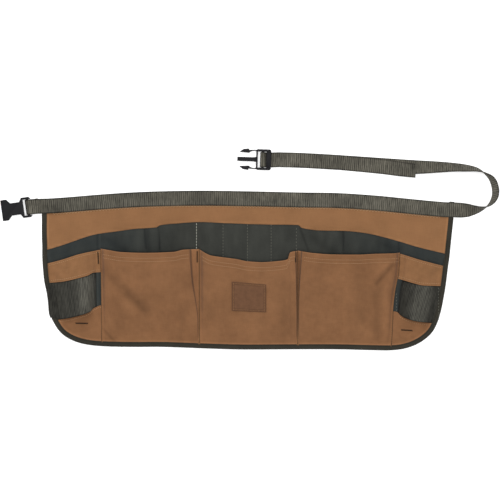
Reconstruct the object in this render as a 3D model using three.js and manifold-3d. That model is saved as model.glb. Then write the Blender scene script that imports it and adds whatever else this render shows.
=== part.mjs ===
// A carpenter's nail apron laid flat: canvas and nylon pouches on a canvas panel, bound with tape,
// on a webbing belt with a side-release buckle. Millimetres: X across, Y from the hem up to the
// belt, Z off the table.
import * as THREE from "three";
import { mergeVertices } from "three/addons/utils/BufferGeometryUtils.js";
import Module from "manifold-3d";

const wasm = await Module();
wasm.setup();

// The apron as a whole. Shares in the tables run over these two, from the middle of the hem
const apronWidth = 700;
const apronHeight = 271;

// Walls of the cloths, and the air kept between pieces
const canvasWall = 1.1;
const nylonWall = 1.0;
const webbingWall = 1.6;
const tapeWall = 0.9;
const seatGap = 0.3;
const layerGap = 0.6;

// Widths of the tape and the straps
const tapeWidth = 8.5;
const beltWidth = 25.4;
const patchWidth = 56.4;
const patchHeight = 48.5;

// How far each soft piece stands off the layer below, the bands and loops at both their edges
const pouchGape = 14;
const rearGape = 8;
const bandTopArch = 7.7;
const bandHemArch = 9;
const loopTopArch = 7.5;
const loopHemArch = 16;

// Lengths along the cloth
const rearDepth = 72;
const footWidth = 2;
const liftRun = 14;
const panelTuck = 7;
const cornerTuck = 6;
const loopInset = 8;
const tapeClearance = 1;
const rimStep = 4;
const flapReach = 18;
const flapSag = 0.2;

// The three layers, each by the height of its underside where it lies flat
const edgeLift = tapeWall + seatGap;
const nylonFloor = canvasWall + layerGap;
const frontFloor = nylonFloor + nylonWall + layerGap;
const tapeHeights = [
  edgeLift + canvasWall + seatGap + tapeWall,
  edgeLift + nylonFloor + nylonWall + seatGap + tapeWall,
  edgeLift + frontFloor + webbingWall + seatGap + tapeWall,
];
const beltFloor = canvasWall + layerGap;
const beltOverTape = tapeHeights[0] + seatGap - beltFloor;

// The two halves of the buckle
const socketReach = 45;
const socketTail = 5.5;
const socketWidth = 35.4;
const socketThickness = 11;
const socketCavityWidth = 29;
const socketCavityHeight = 6.4;
const socketCavityDepth = 33;
const socketTilt = 8;
const socketSlot = 5.6;
const socketBarThrough = 4.5;
const socketBarHeight = 3;
const plugFrameLength = 23.9;
const plugFrameWidth = 35.2;
const plugThickness = 8;
const plugTilt = -2;
const plugCrossBar = 2.7;
const plugInnerSlot = 6;
const plugBarThrough = 4.8;
const plugBarHeight = 3.2;
const plugEndBar = 7.9;
const plugEndBarHeight = 3.6;
const plugReach = 32;
const prongThickness = 4.5;
const prongWidth = 7;
const plugCorner = 2;
const prongRoot = 4.5;
const strapPassWidth = beltWidth + 2;
const roundingSize = 0.8;
const cutOvershoot = 1;

// How finely the cloths are divided
const stationsPerRow = 2;
const panelTopSteps = 18;
const beltSteps = 44;
const strapSteps = 66;
const rearRows = [0, 0.05, 0.13, 0.22, 0.32, 0.44, 0.6, 0.8, 0.93, 1];
const stripRows = [0, 0.33, 0.66, 1];
const cornerSteps = [0, 0.08, 0.2, 0.35, 0.5, 0.65, 0.82, 1];
const patchSteps = [0, 0.25, 0.5, 0.75, 1];
const softening = 6;
const weldDistance = 1e-4;

const clamp = THREE.MathUtils.clamp;
const lerp = THREE.MathUtils.lerp;
const radians = THREE.MathUtils.degToRad;

// Outer edge of the binding tape, from the upper left corner round the hem to the upper right one.
// plies: how many layers of cloth the tape closes over
const outlineRows = [
  { across: -0.5, up: 0.935, plies: 1 },
  { across: -0.5, up: 0.85, plies: 1 },
  { across: -0.5, up: 0.72, plies: 1 },
  { across: -0.499, up: 0.65, plies: 2 },
  { across: -0.499, up: 0.6, plies: 2 },
  { across: -0.498, up: 0.55, plies: 3 },
  { across: -0.494, up: 0.436, plies: 3 },
  { across: -0.489, up: 0.374, plies: 3 },
  { across: -0.484, up: 0.303, plies: 3 },
  { across: -0.48, up: 0.23, plies: 3 },
  { across: -0.474, up: 0.19, plies: 3 },
  { across: -0.467, up: 0.157, plies: 3 },
  { across: -0.459, up: 0.126, plies: 3 },
  { across: -0.448, up: 0.097, plies: 3 },
  { across: -0.43, up: 0.068, plies: 3 },
  { across: -0.408, up: 0.046, plies: 3 },
  { across: -0.384, up: 0.033, plies: 3 },
  { across: -0.35, up: 0.025, plies: 3 },
  { across: -0.286, up: 0.021, plies: 3 },
  { across: -0.206, up: 0.021, plies: 3 },
  { across: -0.11, up: 0.012, plies: 3 },
  { across: -0.019, up: 0.005, plies: 3 },
  { across: 0.1, up: 0.006, plies: 3 },
  { across: 0.22, up: 0.006, plies: 3 },
  { across: 0.3, up: 0.001, plies: 3 },
  { across: 0.347, up: 0.0, plies: 3 },
  { across: 0.377, up: 0.009, plies: 3 },
  { across: 0.404, up: 0.031, plies: 3 },
  { across: 0.426, up: 0.063, plies: 3 },
  { across: 0.445, up: 0.107, plies: 3 },
  { across: 0.458, up: 0.165, plies: 3 },
  { across: 0.467, up: 0.236, plies: 3 },
  { across: 0.473, up: 0.306, plies: 3 },
  { across: 0.479, up: 0.396, plies: 3 },
  { across: 0.486, up: 0.535, plies: 3 },
  { across: 0.489, up: 0.585, plies: 2 },
  { across: 0.491, up: 0.635, plies: 2 },
  { across: 0.495, up: 0.73, plies: 1 },
  { across: 0.499, up: 0.83, plies: 1 },
  { across: 0.501, up: 0.93, plies: 1 },
];

// Where the belt leaves the right-hand corner and the free strap starts
const beltEnd = { across: 0.493, up: 0.88 };

// Middle line of the belt. lift: 0 lies on the panel, 1 passes over the tape
const beltRows = [
  { across: -0.499, up: 0.903, lift: 1 },
  { across: -0.485, up: 0.9035, lift: 1 },
  { across: -0.462, up: 0.907, lift: 0.8 },
  { across: -0.427, up: 0.914, lift: 0 },
  { across: -0.342, up: 0.932, lift: 0 },
  { across: -0.25, up: 0.946, lift: 0 },
  { across: -0.119, up: 0.953, lift: 0 },
  { across: 0.005, up: 0.949, lift: 0 },
  { across: 0.127, up: 0.942, lift: 0 },
  { across: 0.219, up: 0.938, lift: 0 },
  { across: 0.312, up: 0.922, lift: 0 },
  { across: 0.375, up: 0.906, lift: 0 },
  { across: 0.433, up: 0.891, lift: 0 },
  { across: 0.463, up: 0.884, lift: 0.8 },
  { across: 0.482, up: 0.8805, lift: 1 },
  { ...beltEnd, lift: 1 },
];

// Middle line of the free strap, from the right-hand corner round its turn to the plug. lean: the
// degrees it leans up onto its outer edge, and past upright in the turn
const strapRows = [
  { ...beltEnd, across: beltEnd.across + layerGap / apronWidth, lean: 0, lift: 1 },
  { across: 0.503, up: 0.879, lean: 2, lift: 1 },
  { across: 0.515, up: 0.8775, lean: 8, lift: 0.55 },
  { across: 0.53, up: 0.876, lean: 25, lift: 0 },
  { across: 0.546, up: 0.877, lean: 49, lift: 0 },
  { across: 0.564, up: 0.884, lean: 72, lift: 0 },
  { across: 0.58, up: 0.899, lean: 90, lift: 0 },
  { across: 0.594, up: 0.929, lean: 109, lift: 0 },
  { across: 0.601, up: 0.966, lean: 119, lift: 0 },
  { across: 0.602, up: 1.002, lean: 121, lift: 0 },
  { across: 0.599, up: 1.041, lean: 120, lift: 0 },
  { across: 0.592, up: 1.076, lean: 112, lift: 0 },
  { across: 0.574, up: 1.11, lean: 90, lift: 0 },
  { across: 0.557, up: 1.13, lean: 75, lift: 0 },
  { across: 0.527, up: 1.141, lean: 61, lift: 0 },
  { across: 0.496, up: 1.146, lean: 53, lift: 0 },
  { across: 0.467, up: 1.147, lean: 43, lift: 0 },
  { across: 0.438, up: 1.147, lean: 33, lift: 0 },
  { across: 0.411, up: 1.147, lean: 22, lift: 0 },
  { across: 0.37, up: 1.151, lean: 9, lift: 0 },
  { across: 0.333, up: 1.157, lean: 0, lift: 0 },
  { across: 0.224, up: 1.176, lean: 0, lift: 0 },
  { across: 0.127, up: 1.19, lean: 0, lift: 0 },
  { across: 0.075, up: 1.194, lean: 0, lift: 0 },
];

// How far across the doubled tail of the strap reaches, and how it slips sideways off the strap
// below it, by shares of the belt's width
const tailEnd = 0.411;
const tailRows = [
  { across: 0.224, slip: 0 },
  { across: 0.333, slip: 0.09 },
  { across: 0.37, slip: 0.18 },
  { across: 0.411, slip: 0.31 },
];

// Places of the buckle halves: the bar of the socket, and the middle of the plug's frame
const socketPlace = { across: -0.533, up: 0.8965 };
const plugPlace = { across: 0.039, up: 1.1935 };

// How far across the straight part of the nylon's hem reaches
const nylonHem = { left: -0.33, right: 0.335 };

// Upper edge of the nylon panel
const nylonTopRows = [
  { across: -0.5, up: 0.62 },
  { across: -0.456, up: 0.653 },
  { across: -0.422, up: 0.683 },
  { across: -0.398, up: 0.705 },
  { across: -0.369, up: 0.726 },
  { across: -0.318, up: 0.744 },
  { across: -0.272, up: 0.76 },
  { across: -0.22, up: 0.77 },
  { across: -0.214, up: 0.782 },
  { across: -0.175, up: 0.793 },
  { across: -0.118, up: 0.803 },
  { across: -0.055, up: 0.796 },
  { across: 0.03, up: 0.788 },
  { across: 0.123, up: 0.784 },
  { across: 0.13, up: 0.767 },
  { across: 0.175, up: 0.75 },
  { across: 0.234, up: 0.747 },
  { across: 0.287, up: 0.732 },
  { across: 0.329, up: 0.708 },
  { across: 0.37, up: 0.679 },
  { across: 0.409, up: 0.648 },
  { across: 0.5, up: 0.592 },
];

// How far the nylon stands off the panel along its upper edge: nothing at a sewn line
const nylonRiseRows = [
  { across: -0.5, rise: 0 },
  { across: -0.455, rise: 0.1 },
  { across: -0.41, rise: 0.12 },
  { across: -0.375, rise: 0.02 },
  { across: -0.358, rise: 0 },
  { across: -0.335, rise: 0.45 },
  { across: -0.3, rise: 0.92 },
  { across: -0.268, rise: 1 },
  { across: -0.251, rise: 0.84 },
  { across: -0.238, rise: 0.9 },
  { across: -0.217, rise: 1 },
  { across: -0.185, rise: 0.95 },
  { across: -0.15, rise: 0.55 },
  { across: -0.126, rise: 0.04 },
  { across: -0.118, rise: 0 },
  { across: -0.105, rise: 0.38 },
  { across: -0.09, rise: 0.66 },
  { across: -0.074, rise: 0.4 },
  { across: -0.06, rise: 0.04 },
  { across: -0.046, rise: 0.4 },
  { across: -0.03, rise: 0.66 },
  { across: -0.014, rise: 0.4 },
  { across: 0, rise: 0.04 },
  { across: 0.014, rise: 0.4 },
  { across: 0.03, rise: 0.66 },
  { across: 0.045, rise: 0.4 },
  { across: 0.058, rise: 0.04 },
  { across: 0.072, rise: 0.4 },
  { across: 0.089, rise: 0.66 },
  { across: 0.107, rise: 0.35 },
  { across: 0.12, rise: 0 },
  { across: 0.133, rise: 0.2 },
  { across: 0.16, rise: 0.8 },
  { across: 0.2, rise: 1 },
  { across: 0.224, rise: 0.98 },
  { across: 0.234, rise: 0.84 },
  { across: 0.245, rise: 0.96 },
  { across: 0.285, rise: 0.9 },
  { across: 0.325, rise: 0.5 },
  { across: 0.346, rise: 0.05 },
  { across: 0.366, rise: 0 },
  { across: 0.385, rise: 0.04 },
  { across: 0.42, rise: 0.12 },
  { across: 0.458, rise: 0.1 },
  { across: 0.5, rise: 0 },
];

// How the nylon's bulge dies away below its upper edge, by shares of rearDepth
const nylonFadeRows = [
  { down: 0, rise: 0.94 },
  { down: 0.12, rise: 1 },
  { down: 0.4, rise: 0.72 },
  { down: 0.7, rise: 0.22 },
  { down: 1, rise: 0 },
];

// A pouch from seam to seam. span: 0 to 1 is the sewn foot, 1 to 2 the front, 2 to 3 the folded
// side, 3 to 4 the other foot
const pouchSectionRows = [
  { span: 0, rise: 0 },
  { span: 1, rise: 0 },
  { span: 1.035, rise: 0.6 },
  { span: 1.1, rise: 0.86 },
  { span: 1.24, rise: 0.97 },
  { span: 1.42, rise: 1 },
  { span: 1.6, rise: 1 },
  { span: 1.78, rise: 0.97 },
  { span: 1.92, rise: 0.9 },
  { span: 2, rise: 0.78 },
  { span: 2.2, rise: 0.34 },
  { span: 2.6, rise: 0.16 },
  { span: 3, rise: 0 },
  { span: 4, rise: 0 },
];

// A pouch from mouth to hem
const pouchFallRows = [
  { down: 0, rise: 0.97 },
  { down: 0.09, rise: 1 },
  { down: 0.24, rise: 0.95 },
  { down: 0.42, rise: 0.79 },
  { down: 0.6, rise: 0.55 },
  { down: 0.76, rise: 0.3 },
  { down: 0.88, rise: 0.1 },
  { down: 0.95, rise: 0 },
  { down: 1, rise: 0 },
];

// The three pouches. near and far are the seams, far being the one beside the folded side; fold is
// the share of the way from near to far at which the front folds back. creases are soft dents
const pouches = [
  {
    name: "left_pouch",
    near: [{ down: 0, across: -0.357 }, { down: 1, across: -0.354 }],
    far: [{ down: 0, across: -0.1185 }, { down: 1, across: -0.1185 }],
    fold: [
      { down: 0, share: 0.89 },
      { down: 0.35, share: 0.916 },
      { down: 0.7, share: 0.96 },
      { down: 1, share: 0.98 },
    ],
    mouth: [
      { across: -0.357, up: 0.637 },
      { across: -0.336, up: 0.627 },
      { across: -0.306, up: 0.615 },
      { across: -0.25, up: 0.61 },
      { across: -0.18, up: 0.616 },
      { across: -0.155, up: 0.63 },
      { across: -0.118, up: 0.634 },
    ],
    creases: [
      { fromAcross: 0.14, fromDown: 0.1, toAcross: 0.46, toDown: 0.62, depth: 0.13, width: 0.09 },
    ],
  },
  {
    name: "middle_pouch",
    near: [{ down: 0, across: -0.1175 }, { down: 1, across: -0.1175 }],
    far: [{ down: 0, across: 0.1205 }, { down: 1, across: 0.1205 }],
    fold: [
      { down: 0, share: 0.955 },
      { down: 0.35, share: 0.965 },
      { down: 1, share: 0.98 },
    ],
    mouth: [
      { across: -0.118, up: 0.633 },
      { across: -0.105, up: 0.612 },
      { across: -0.09, up: 0.594 },
      { across: -0.06, up: 0.582 },
      { across: -0.03, up: 0.572 },
      { across: 0.0, up: 0.557 },
      { across: 0.035, up: 0.552 },
      { across: 0.07, up: 0.558 },
      { across: 0.096, up: 0.569 },
      { across: 0.102, up: 0.614 },
      { across: 0.121, up: 0.623 },
    ],
    creases: [],
  },
  {
    name: "right_pouch",
    near: [
      { down: 0, across: 0.3685 },
      { down: 0.2, across: 0.3655 },
      { down: 0.4, across: 0.357 },
      { down: 0.6, across: 0.352 },
      { down: 0.8, across: 0.35 },
      { down: 1, across: 0.347 },
    ],
    far: [{ down: 0, across: 0.1215 }, { down: 1, across: 0.1215 }],
    fold: [
      { down: 0, share: 0.952 },
      { down: 0.35, share: 0.962 },
      { down: 1, share: 0.98 },
    ],
    mouth: [
      { across: 0.121, up: 0.624 },
      { across: 0.157, up: 0.609 },
      { across: 0.207, up: 0.6 },
      { across: 0.268, up: 0.599 },
      { across: 0.308, up: 0.604 },
      { across: 0.351, up: 0.607 },
      { across: 0.37, up: 0.612 },
    ],
    creases: [
      { fromAcross: 0.06, fromDown: 0.14, toAcross: 0.27, toDown: 0.3, depth: 0.1, width: 0.05 },
      { fromAcross: 0.3, fromDown: 0.55, toAcross: 0.52, toDown: 0.86, depth: 0.1, width: 0.07 },
    ],
  },
];

// Where the label patch sits on the middle pouch, and the degrees it leans
const patchPlace = { across: 0.0035, up: 0.332, lean: -2.6 };

// The bands, loops and corner panels of both sides, from the pouch seam outwards. turn: 1 for the
// side that ends in the left edge, -1 for the right one
const sides = [
  {
    name: "left",
    turn: 1,
    inner: [
      { up: 0.637, across: -0.3578 },
      { up: 0.03, across: -0.3548 },
    ],
    bandTop: [
      { across: -0.5, up: 0.535 },
      { across: -0.452, up: 0.566 },
      { across: -0.409, up: 0.601 },
      { across: -0.36, up: 0.629 },
    ],
    bandHem: [
      { across: -0.5, up: 0.419 },
      { across: -0.452, up: 0.429 },
      { across: -0.409, up: 0.453 },
      { across: -0.388, up: 0.468 },
      { across: -0.375, up: 0.486 },
      { across: -0.36, up: 0.489 },
    ],
    loopHem: [
      { across: -0.5, up: 0.18 },
      { across: -0.469, up: 0.19 },
      { across: -0.435, up: 0.203 },
      { across: -0.405, up: 0.221 },
      { across: -0.384, up: 0.241 },
      { across: -0.376, up: 0.262 },
      { across: -0.36, up: 0.283 },
    ],
  },
  {
    name: "right",
    turn: -1,
    inner: [
      { up: 0.612, across: 0.3695 },
      { up: 0.49, across: 0.3665 },
      { up: 0.369, across: 0.358 },
      { up: 0.248, across: 0.353 },
      { up: 0.126, across: 0.351 },
      { up: 0.005, across: 0.348 },
    ],
    bandTop: [
      { across: 0.36, up: 0.61 },
      { across: 0.374, up: 0.601 },
      { across: 0.421, up: 0.563 },
      { across: 0.5, up: 0.512 },
    ],
    bandHem: [
      { across: 0.355, up: 0.452 },
      { across: 0.37, up: 0.444 },
      { across: 0.396, up: 0.424 },
      { across: 0.426, up: 0.406 },
      { across: 0.5, up: 0.4 },
    ],
    loopHem: [
      { across: 0.35, up: 0.247 },
      { across: 0.361, up: 0.243 },
      { across: 0.371, up: 0.219 },
      { across: 0.389, up: 0.196 },
      { across: 0.409, up: 0.182 },
      { across: 0.446, up: 0.173 },
      { across: 0.5, up: 0.17 },
    ],
  },
];

// The arch of a band or loop from its inner foot out to the tape
const archRows = [
  { out: 0, rise: 0 },
  { out: 0.07, rise: 0 },
  { out: 0.15, rise: 0.5 },
  { out: 0.26, rise: 0.86 },
  { out: 0.4, rise: 1 },
  { out: 0.52, rise: 0.97 },
  { out: 0.64, rise: 0.76 },
  { out: 0.75, rise: 0.38 },
  { out: 0.83, rise: 0.06 },
  { out: 0.87, rise: 0 },
  { out: 1, rise: 0 },
];

// The socket in plan, from its mouth to the end behind the bar
const socketRows = [
  { along: 0, half: 1 },
  { along: 0.19, half: 1 },
  { along: 0.31, half: 0.59 },
  { along: 0.62, half: 0.59 },
  { along: 0.7, half: 0.97 },
  { along: 0.95, half: 0.97 },
  { along: 1, half: 0.8 },
];

// One sprung arm of the plug in plan: along from the frame to the tip, off from the middle line
const armRows = [
  { along: -0.05, off: 0.93 },
  { along: 0.12, off: 0.93 },
  { along: 0.36, off: 0.9 },
  { along: 0.37, off: 0.86 },
  { along: 0.41, off: 1.03 },
  { along: 0.68, off: 0.97 },
  { along: 0.88, off: 0.72 },
  { along: 0.84, off: 0.67 },
  { along: 0.66, off: 0.66 },
  { along: 0.38, off: 0.62 },
  { along: 0.31, off: 0.74 },
  { along: 0.2, off: 0.81 },
  { along: 0.08, off: 0.84 },
  { along: -0.05, off: 0.76 },
];

// Reads one column of a table at a value of another, smoothly and without overshoot
function reader(rows, key, column) {
  const slope = rows.slice(1).map((row, i) => {
    const before = rows[i];
    return (row[column] - before[column]) / (row[key] - before[key]);
  });
  const tangent = rows.map((row, i) => {
    if (i === 0 || i === rows.length - 1) return slope[Math.min(i, slope.length - 1)];
    const product = slope[i - 1] * slope[i];
    return product <= 0 ? 0 : (2 * product) / (slope[i - 1] + slope[i]);
  });
  return (value) => {
    const at = clamp(value, rows[0][key], rows[rows.length - 1][key]);
    let i = 0;
    while (i < rows.length - 2 && at > rows[i + 1][key]) i += 1;
    const run = rows[i + 1][key] - rows[i][key];
    const t = (at - rows[i][key]) / run;
    const t2 = t * t;
    const t3 = t2 * t;
    return (
      (2 * t3 - 3 * t2 + 1) * rows[i][column] +
      (t3 - 2 * t2 + t) * run * tangent[i] +
      (3 * t2 - 2 * t3) * rows[i + 1][column] +
      (t3 - t2) * run * tangent[i + 1]
    );
  };
}

// The same for a table whose two columns are shares of the apron: millimetres in, millimetres out
function edgeReader(rows) {
  const up = reader(rows, "across", "up");
  return (x) => up(x / apronWidth) * apronHeight;
}

// A closed solid from one face of a sheet and the offset of the other face from it
function thicken(points, faces, offsets) {
  const count = points.length;
  const all = points.concat(points.map((point, i) => point.clone().add(offsets[i])));
  const edges = new Set(faces.flatMap(([a, b, c]) => [`${a},${b}`, `${b},${c}`, `${c},${a}`]));
  const triangles = [];
  for (const [a, b, c] of faces) {
    triangles.push([a, c, b], [a + count, b + count, c + count]);
    for (const [from, to] of [[a, b], [b, c], [c, a]]) {
      if (edges.has(`${to},${from}`)) continue;
      triangles.push([from, to, to + count], [from, to + count, from + count]);
    }
  }
  return geometryOf(all, triangles);
}

function geometryOf(points, triangles) {
  const geometry = new THREE.BufferGeometry().setFromPoints(points);
  geometry.setIndex(triangles.flat());
  return geometry;
}

// A sheet of cloth: a grid of places on its underside, columns across and rows down
function sheet(place, columns, rows, wall) {
  const grid = columns.map((a) => rows.map((d) => place(a, d)));
  const lastColumn = columns.length - 1;
  const lastRow = rows.length - 1;
  const normals = grid.map((line, i) =>
    line.map((point, j) => {
      const across = grid[Math.min(i + 1, lastColumn)][j].clone().sub(grid[Math.max(i - 1, 0)][j]);
      const down = line[Math.min(j + 1, lastRow)].clone().sub(line[Math.max(j - 1, 0)]);
      return down.cross(across).normalize();
    }),
  );
  const facesUp = normals.flat().reduce((sum, normal) => sum + normal.z, 0) > 0;
  const index = (i, j) => i * rows.length + j;
  const faces = [];
  for (let i = 0; i < lastColumn; i += 1) {
    for (let j = 0; j < lastRow; j += 1) {
      const quad = [index(i, j), index(i, j + 1), index(i + 1, j + 1), index(i + 1, j)];
      if (!facesUp) quad.reverse();
      faces.push([quad[0], quad[1], quad[2]], [quad[0], quad[2], quad[3]]);
    }
  }
  const side = facesUp ? wall : -wall;
  return thicken(grid.flat(), faces, normals.flat().map((normal) => normal.multiplyScalar(side)));
}

// Four edges filled smoothly: top and hem run across, left and right run down
function coonsPatch(top, hem, left, right) {
  return (a, d) =>
    new THREE.Vector2()
      .addScaledVector(top(a), 1 - d)
      .addScaledVector(hem(a), d)
      .addScaledVector(left(d), 1 - a)
      .addScaledVector(right(d), a)
      .addScaledVector(top(0), -(1 - a) * (1 - d))
      .addScaledVector(top(1), -a * (1 - d))
      .addScaledVector(hem(0), -(1 - a) * d)
      .addScaledVector(hem(1), -a * d);
}

// A strap of rectangular section through stations, each a middle point and a direction of its width
function ribbon(stations, width, wall) {
  const rings = stations.map(({ point, side }, i) => {
    const before = stations[Math.max(i - 1, 0)].point;
    const after = stations[Math.min(i + 1, stations.length - 1)].point;
    const normal = after.clone().sub(before).cross(side).normalize();
    return [[-1, -1], [1, -1], [1, 1], [-1, 1]].map(([across, up]) =>
      point
        .clone()
        .addScaledVector(side, (across * width) / 2)
        .addScaledVector(normal, (up * wall) / 2),
    );
  });
  return tubeOf(rings);
}

// A closed solid through rings of matching points, each ring running clockwise seen along the path
function tubeOf(rings) {
  const size = rings[0].length;
  const triangles = [];
  for (let i = 0; i < rings.length - 1; i += 1) {
    for (let k = 0; k < size; k += 1) {
      const a = i * size + k;
      const b = i * size + ((k + 1) % size);
      triangles.push([a, b, b + size], [a, b + size, a + size]);
    }
  }
  const flat = rings[0].map((point, k) => sectionShare(rings[0], k));
  const caps = THREE.ShapeUtils.triangulateShape(flat, []);
  const last = (rings.length - 1) * size;
  for (const [a, b, c] of caps) {
    triangles.push([a, c, b], [a + last, b + last, c + last]);
  }
  const geometry = geometryOf(rings.flat(), triangles);
  return signedVolume(geometry) < 0 ? turned(geometry) : geometry;
}

// A ring's point in the plane of the ring
function sectionShare(ring, k) {
  const across = ring[1].clone().sub(ring[0]).normalize();
  const normal = across.clone().cross(ring[2].clone().sub(ring[0])).normalize();
  const up = normal.clone().cross(across);
  const from = ring[k].clone().sub(ring[0]);
  return new THREE.Vector2(from.dot(across), from.dot(up));
}

function signedVolume(geometry) {
  const at = (i) => new THREE.Vector3().fromBufferAttribute(geometry.attributes.position, i);
  const index = geometry.index.array;
  let volume = 0;
  for (let i = 0; i < index.length; i += 3) {
    volume += at(index[i]).dot(at(index[i + 1]).cross(at(index[i + 2])));
  }
  return volume;
}

function turned(geometry) {
  const index = Array.from(geometry.index.array);
  for (let i = 0; i < index.length; i += 3) [index[i + 1], index[i + 2]] = [index[i + 2], index[i + 1]];
  return geometry.setIndex(index);
}

// The outline as stations: a place, the direction inwards, and the height of the tape there
const outlineCurve = new THREE.CatmullRomCurve3(
  outlineRows.map(
    ({ across, up, plies }) => new THREE.Vector3(across * apronWidth, up * apronHeight, plies),
  ),
  false,
  "centripetal",
);
const outlineStations = outlineCurve.getPoints((outlineRows.length - 1) * stationsPerRow);
const outlinePlaces = outlineStations.map((station) => new THREE.Vector2(station.x, station.y));
const tapeHeightAt = outlineStations.map((station) => {
  const ply = clamp(station.z, 1, tapeHeights.length);
  const below = Math.min(Math.floor(ply), tapeHeights.length - 1);
  return lerp(tapeHeights[below - 1], tapeHeights[below], ply - below);
});

function inwardDirections(places, passes) {
  let directions = places.map((place, i) => {
    const along = places[Math.min(i + 1, places.length - 1)].clone().sub(places[Math.max(i - 1, 0)]);
    return new THREE.Vector2(-along.y, along.x).normalize();
  });
  for (let pass = 0; pass < passes; pass += 1) {
    directions = directions.map((direction, i) =>
      direction
        .clone()
        .add(directions[Math.max(i - 1, 0)])
        .add(directions[Math.min(i + 1, directions.length - 1)])
        .normalize(),
    );
  }
  return directions;
}

const outlineInward = inwardDirections(outlinePlaces, 1);
const outlineInwardSoft = inwardDirections(outlinePlaces, softening);

function insetPlaces(distance, inward = outlineInward) {
  return outlinePlaces.map((place, i) => place.clone().addScaledVector(inward[i], distance));
}

function distanceToOutline(x, y) {
  const place = new THREE.Vector2(x, y);
  let nearest = Infinity;
  for (let i = 1; i < outlinePlaces.length; i += 1) {
    const from = outlinePlaces[i - 1];
    const along = outlinePlaces[i].clone().sub(from);
    const t = clamp(place.clone().sub(from).dot(along) / along.lengthSq(), 0, 1);
    nearest = Math.min(nearest, place.distanceTo(from.clone().addScaledVector(along, t)));
  }
  return nearest;
}

// How far every layer is lifted near the tape that closes over its edge
function edgeRise(x, y) {
  const past = distanceToOutline(x, y) - tapeWidth - tapeClearance;
  return edgeLift * (1 - clamp(past / liftRun, 0, 1));
}

// The stretch of the outline between two tests, as a path to walk by shares of its length
const clothInset = tapeWall + seatGap;
const clothEdge = insetPlaces(clothInset);
const lastStation = clothEdge.length - 1;

function crossing(places, test) {
  return places.findIndex((place, i) => i > 0 && test(place));
}

function stretch(fromTest, toTest) {
  const from = crossing(clothEdge, fromTest);
  const to = crossing(clothEdge, toTest);
  const run = clothEdge.slice(Math.min(from, to), Math.max(from, to) + 1);
  return from < to ? run : run.reverse();
}

function walk(places) {
  const path = new THREE.Path(places);
  return (share) => path.getPoint(clamp(share, 0, 1));
}

const beltUp = reader(beltRows, "across", "up");
const beltMiddle = (x) => beltUp(x / apronWidth) * apronHeight;
const panelTop = (x) => beltMiddle(x) + panelTuck;
const nylonTop = edgeReader(nylonTopRows);

// The height of the hem at a place across
function hemUp(x) {
  const i = clothEdge.findIndex((place, k) => k > lastStation / 4 && place.x > x);
  const from = clothEdge[i - 1];
  const t = (x - from.x) / (clothEdge[i].x - from.x);
  return lerp(from.y, clothEdge[i].y, t);
}

// The left or right edge of the cloth at a height
function edgeAcross(y, turn) {
  const line = turn > 0 ? clothEdge : clothEdge.slice().reverse();
  const i = line.findIndex((place) => place.y < y);
  if (i < 1) return line[0].x;
  const t = (y - line[i].y) / (line[i - 1].y - line[i].y);
  return lerp(line[i].x, line[i - 1].x, t);
}

// Moves both ends of a rim onto the panel's upper edge, with the stations beside them below it
function endAtPanelTop(rim) {
  for (const line of [rim, rim.slice().reverse()]) {
    const [end, next] = line;
    end.y = panelTop(end.x);
    next.y = Math.min(next.y, end.y - rimStep);
  }
}

// The canvas panel behind everything: its rim rises into the tape, the rest lies flat
function backPanel() {
  const rims = [
    insetPlaces(clothInset),
    insetPlaces(tapeWidth + tapeClearance, outlineInwardSoft),
    insetPlaces(tapeWidth + tapeClearance + liftRun, outlineInwardSoft),
  ];
  rims.forEach(endAtPanelTop);
  const lifts = [edgeLift, edgeLift, 0];
  const count = rims[0].length;
  const points = rims.flatMap((rim, k) =>
    rim.map((place) => new THREE.Vector3(place.x, place.y, lifts[k])),
  );
  const faces = [];
  for (let k = 0; k < 2; k += 1) {
    for (let i = 0; i < count - 1; i += 1) {
      const a = k * count + i;
      faces.push([a, a + 1, a + 1 + count], [a, a + 1 + count, a + count]);
    }
  }
  const inner = rims[2];
  const fromX = inner[count - 1].x;
  const toX = inner[0].x;
  const topPlaces = Array.from({ length: panelTopSteps - 1 }, (unused, i) => {
    const x = lerp(fromX, toX, (i + 1) / panelTopSteps);
    return new THREE.Vector2(x, panelTop(x));
  });
  const start = points.length;
  points.push(...topPlaces.map((place) => new THREE.Vector3(place.x, place.y, 0)));
  const ring = inner.concat(topPlaces);
  const ringIndex = ring.map((place, i) => (i < count ? 2 * count + i : start + i - count));
  for (const face of THREE.ShapeUtils.triangulateShape(ring, [])) {
    faces.push(face.map((i) => ringIndex[i]));
  }
  const up = new THREE.Vector3(0, 0, canvasWall);
  return thicken(points, faces, points.map(() => up));
}

// The tape folded over the edges: a U in section, as high as the plies that it closes over
function edgeBinding() {
  const turn = tapeWall * 0.6;
  const rings = outlinePlaces.map((place, i) => {
    const height = tapeHeightAt[i];
    const section = [
      [tapeWidth, 0],
      [turn, 0],
      [0, turn],
      [0, height - turn],
      [turn, height],
      [tapeWidth, height],
      [tapeWidth, height - tapeWall],
      [tapeWall, height - tapeWall],
      [tapeWall, tapeWall],
      [tapeWidth, tapeWall],
    ];
    return section.map(([inset, z]) => {
      const at = place.clone().addScaledVector(outlineInward[i], inset);
      return new THREE.Vector3(at.x, at.y, z);
    });
  });
  return tubeOf(rings);
}

const nylonRise = reader(nylonRiseRows, "across", "rise");
const nylonFade = reader(nylonFadeRows, "down", "rise");

function nylonHeight(x, y) {
  const down = (nylonTop(x) - y) / rearDepth;
  return nylonFloor + edgeRise(x, y) + rearGape * nylonRise(x / apronWidth) * nylonFade(down);
}

// A line between two places that follows a height in between
function edgeLine(from, to, height) {
  return (a) => {
    if (a === 0) return from.clone();
    if (a === 1) return to.clone();
    const x = lerp(from.x, to.x, a);
    return new THREE.Vector2(x, height(x));
  };
}

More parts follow.
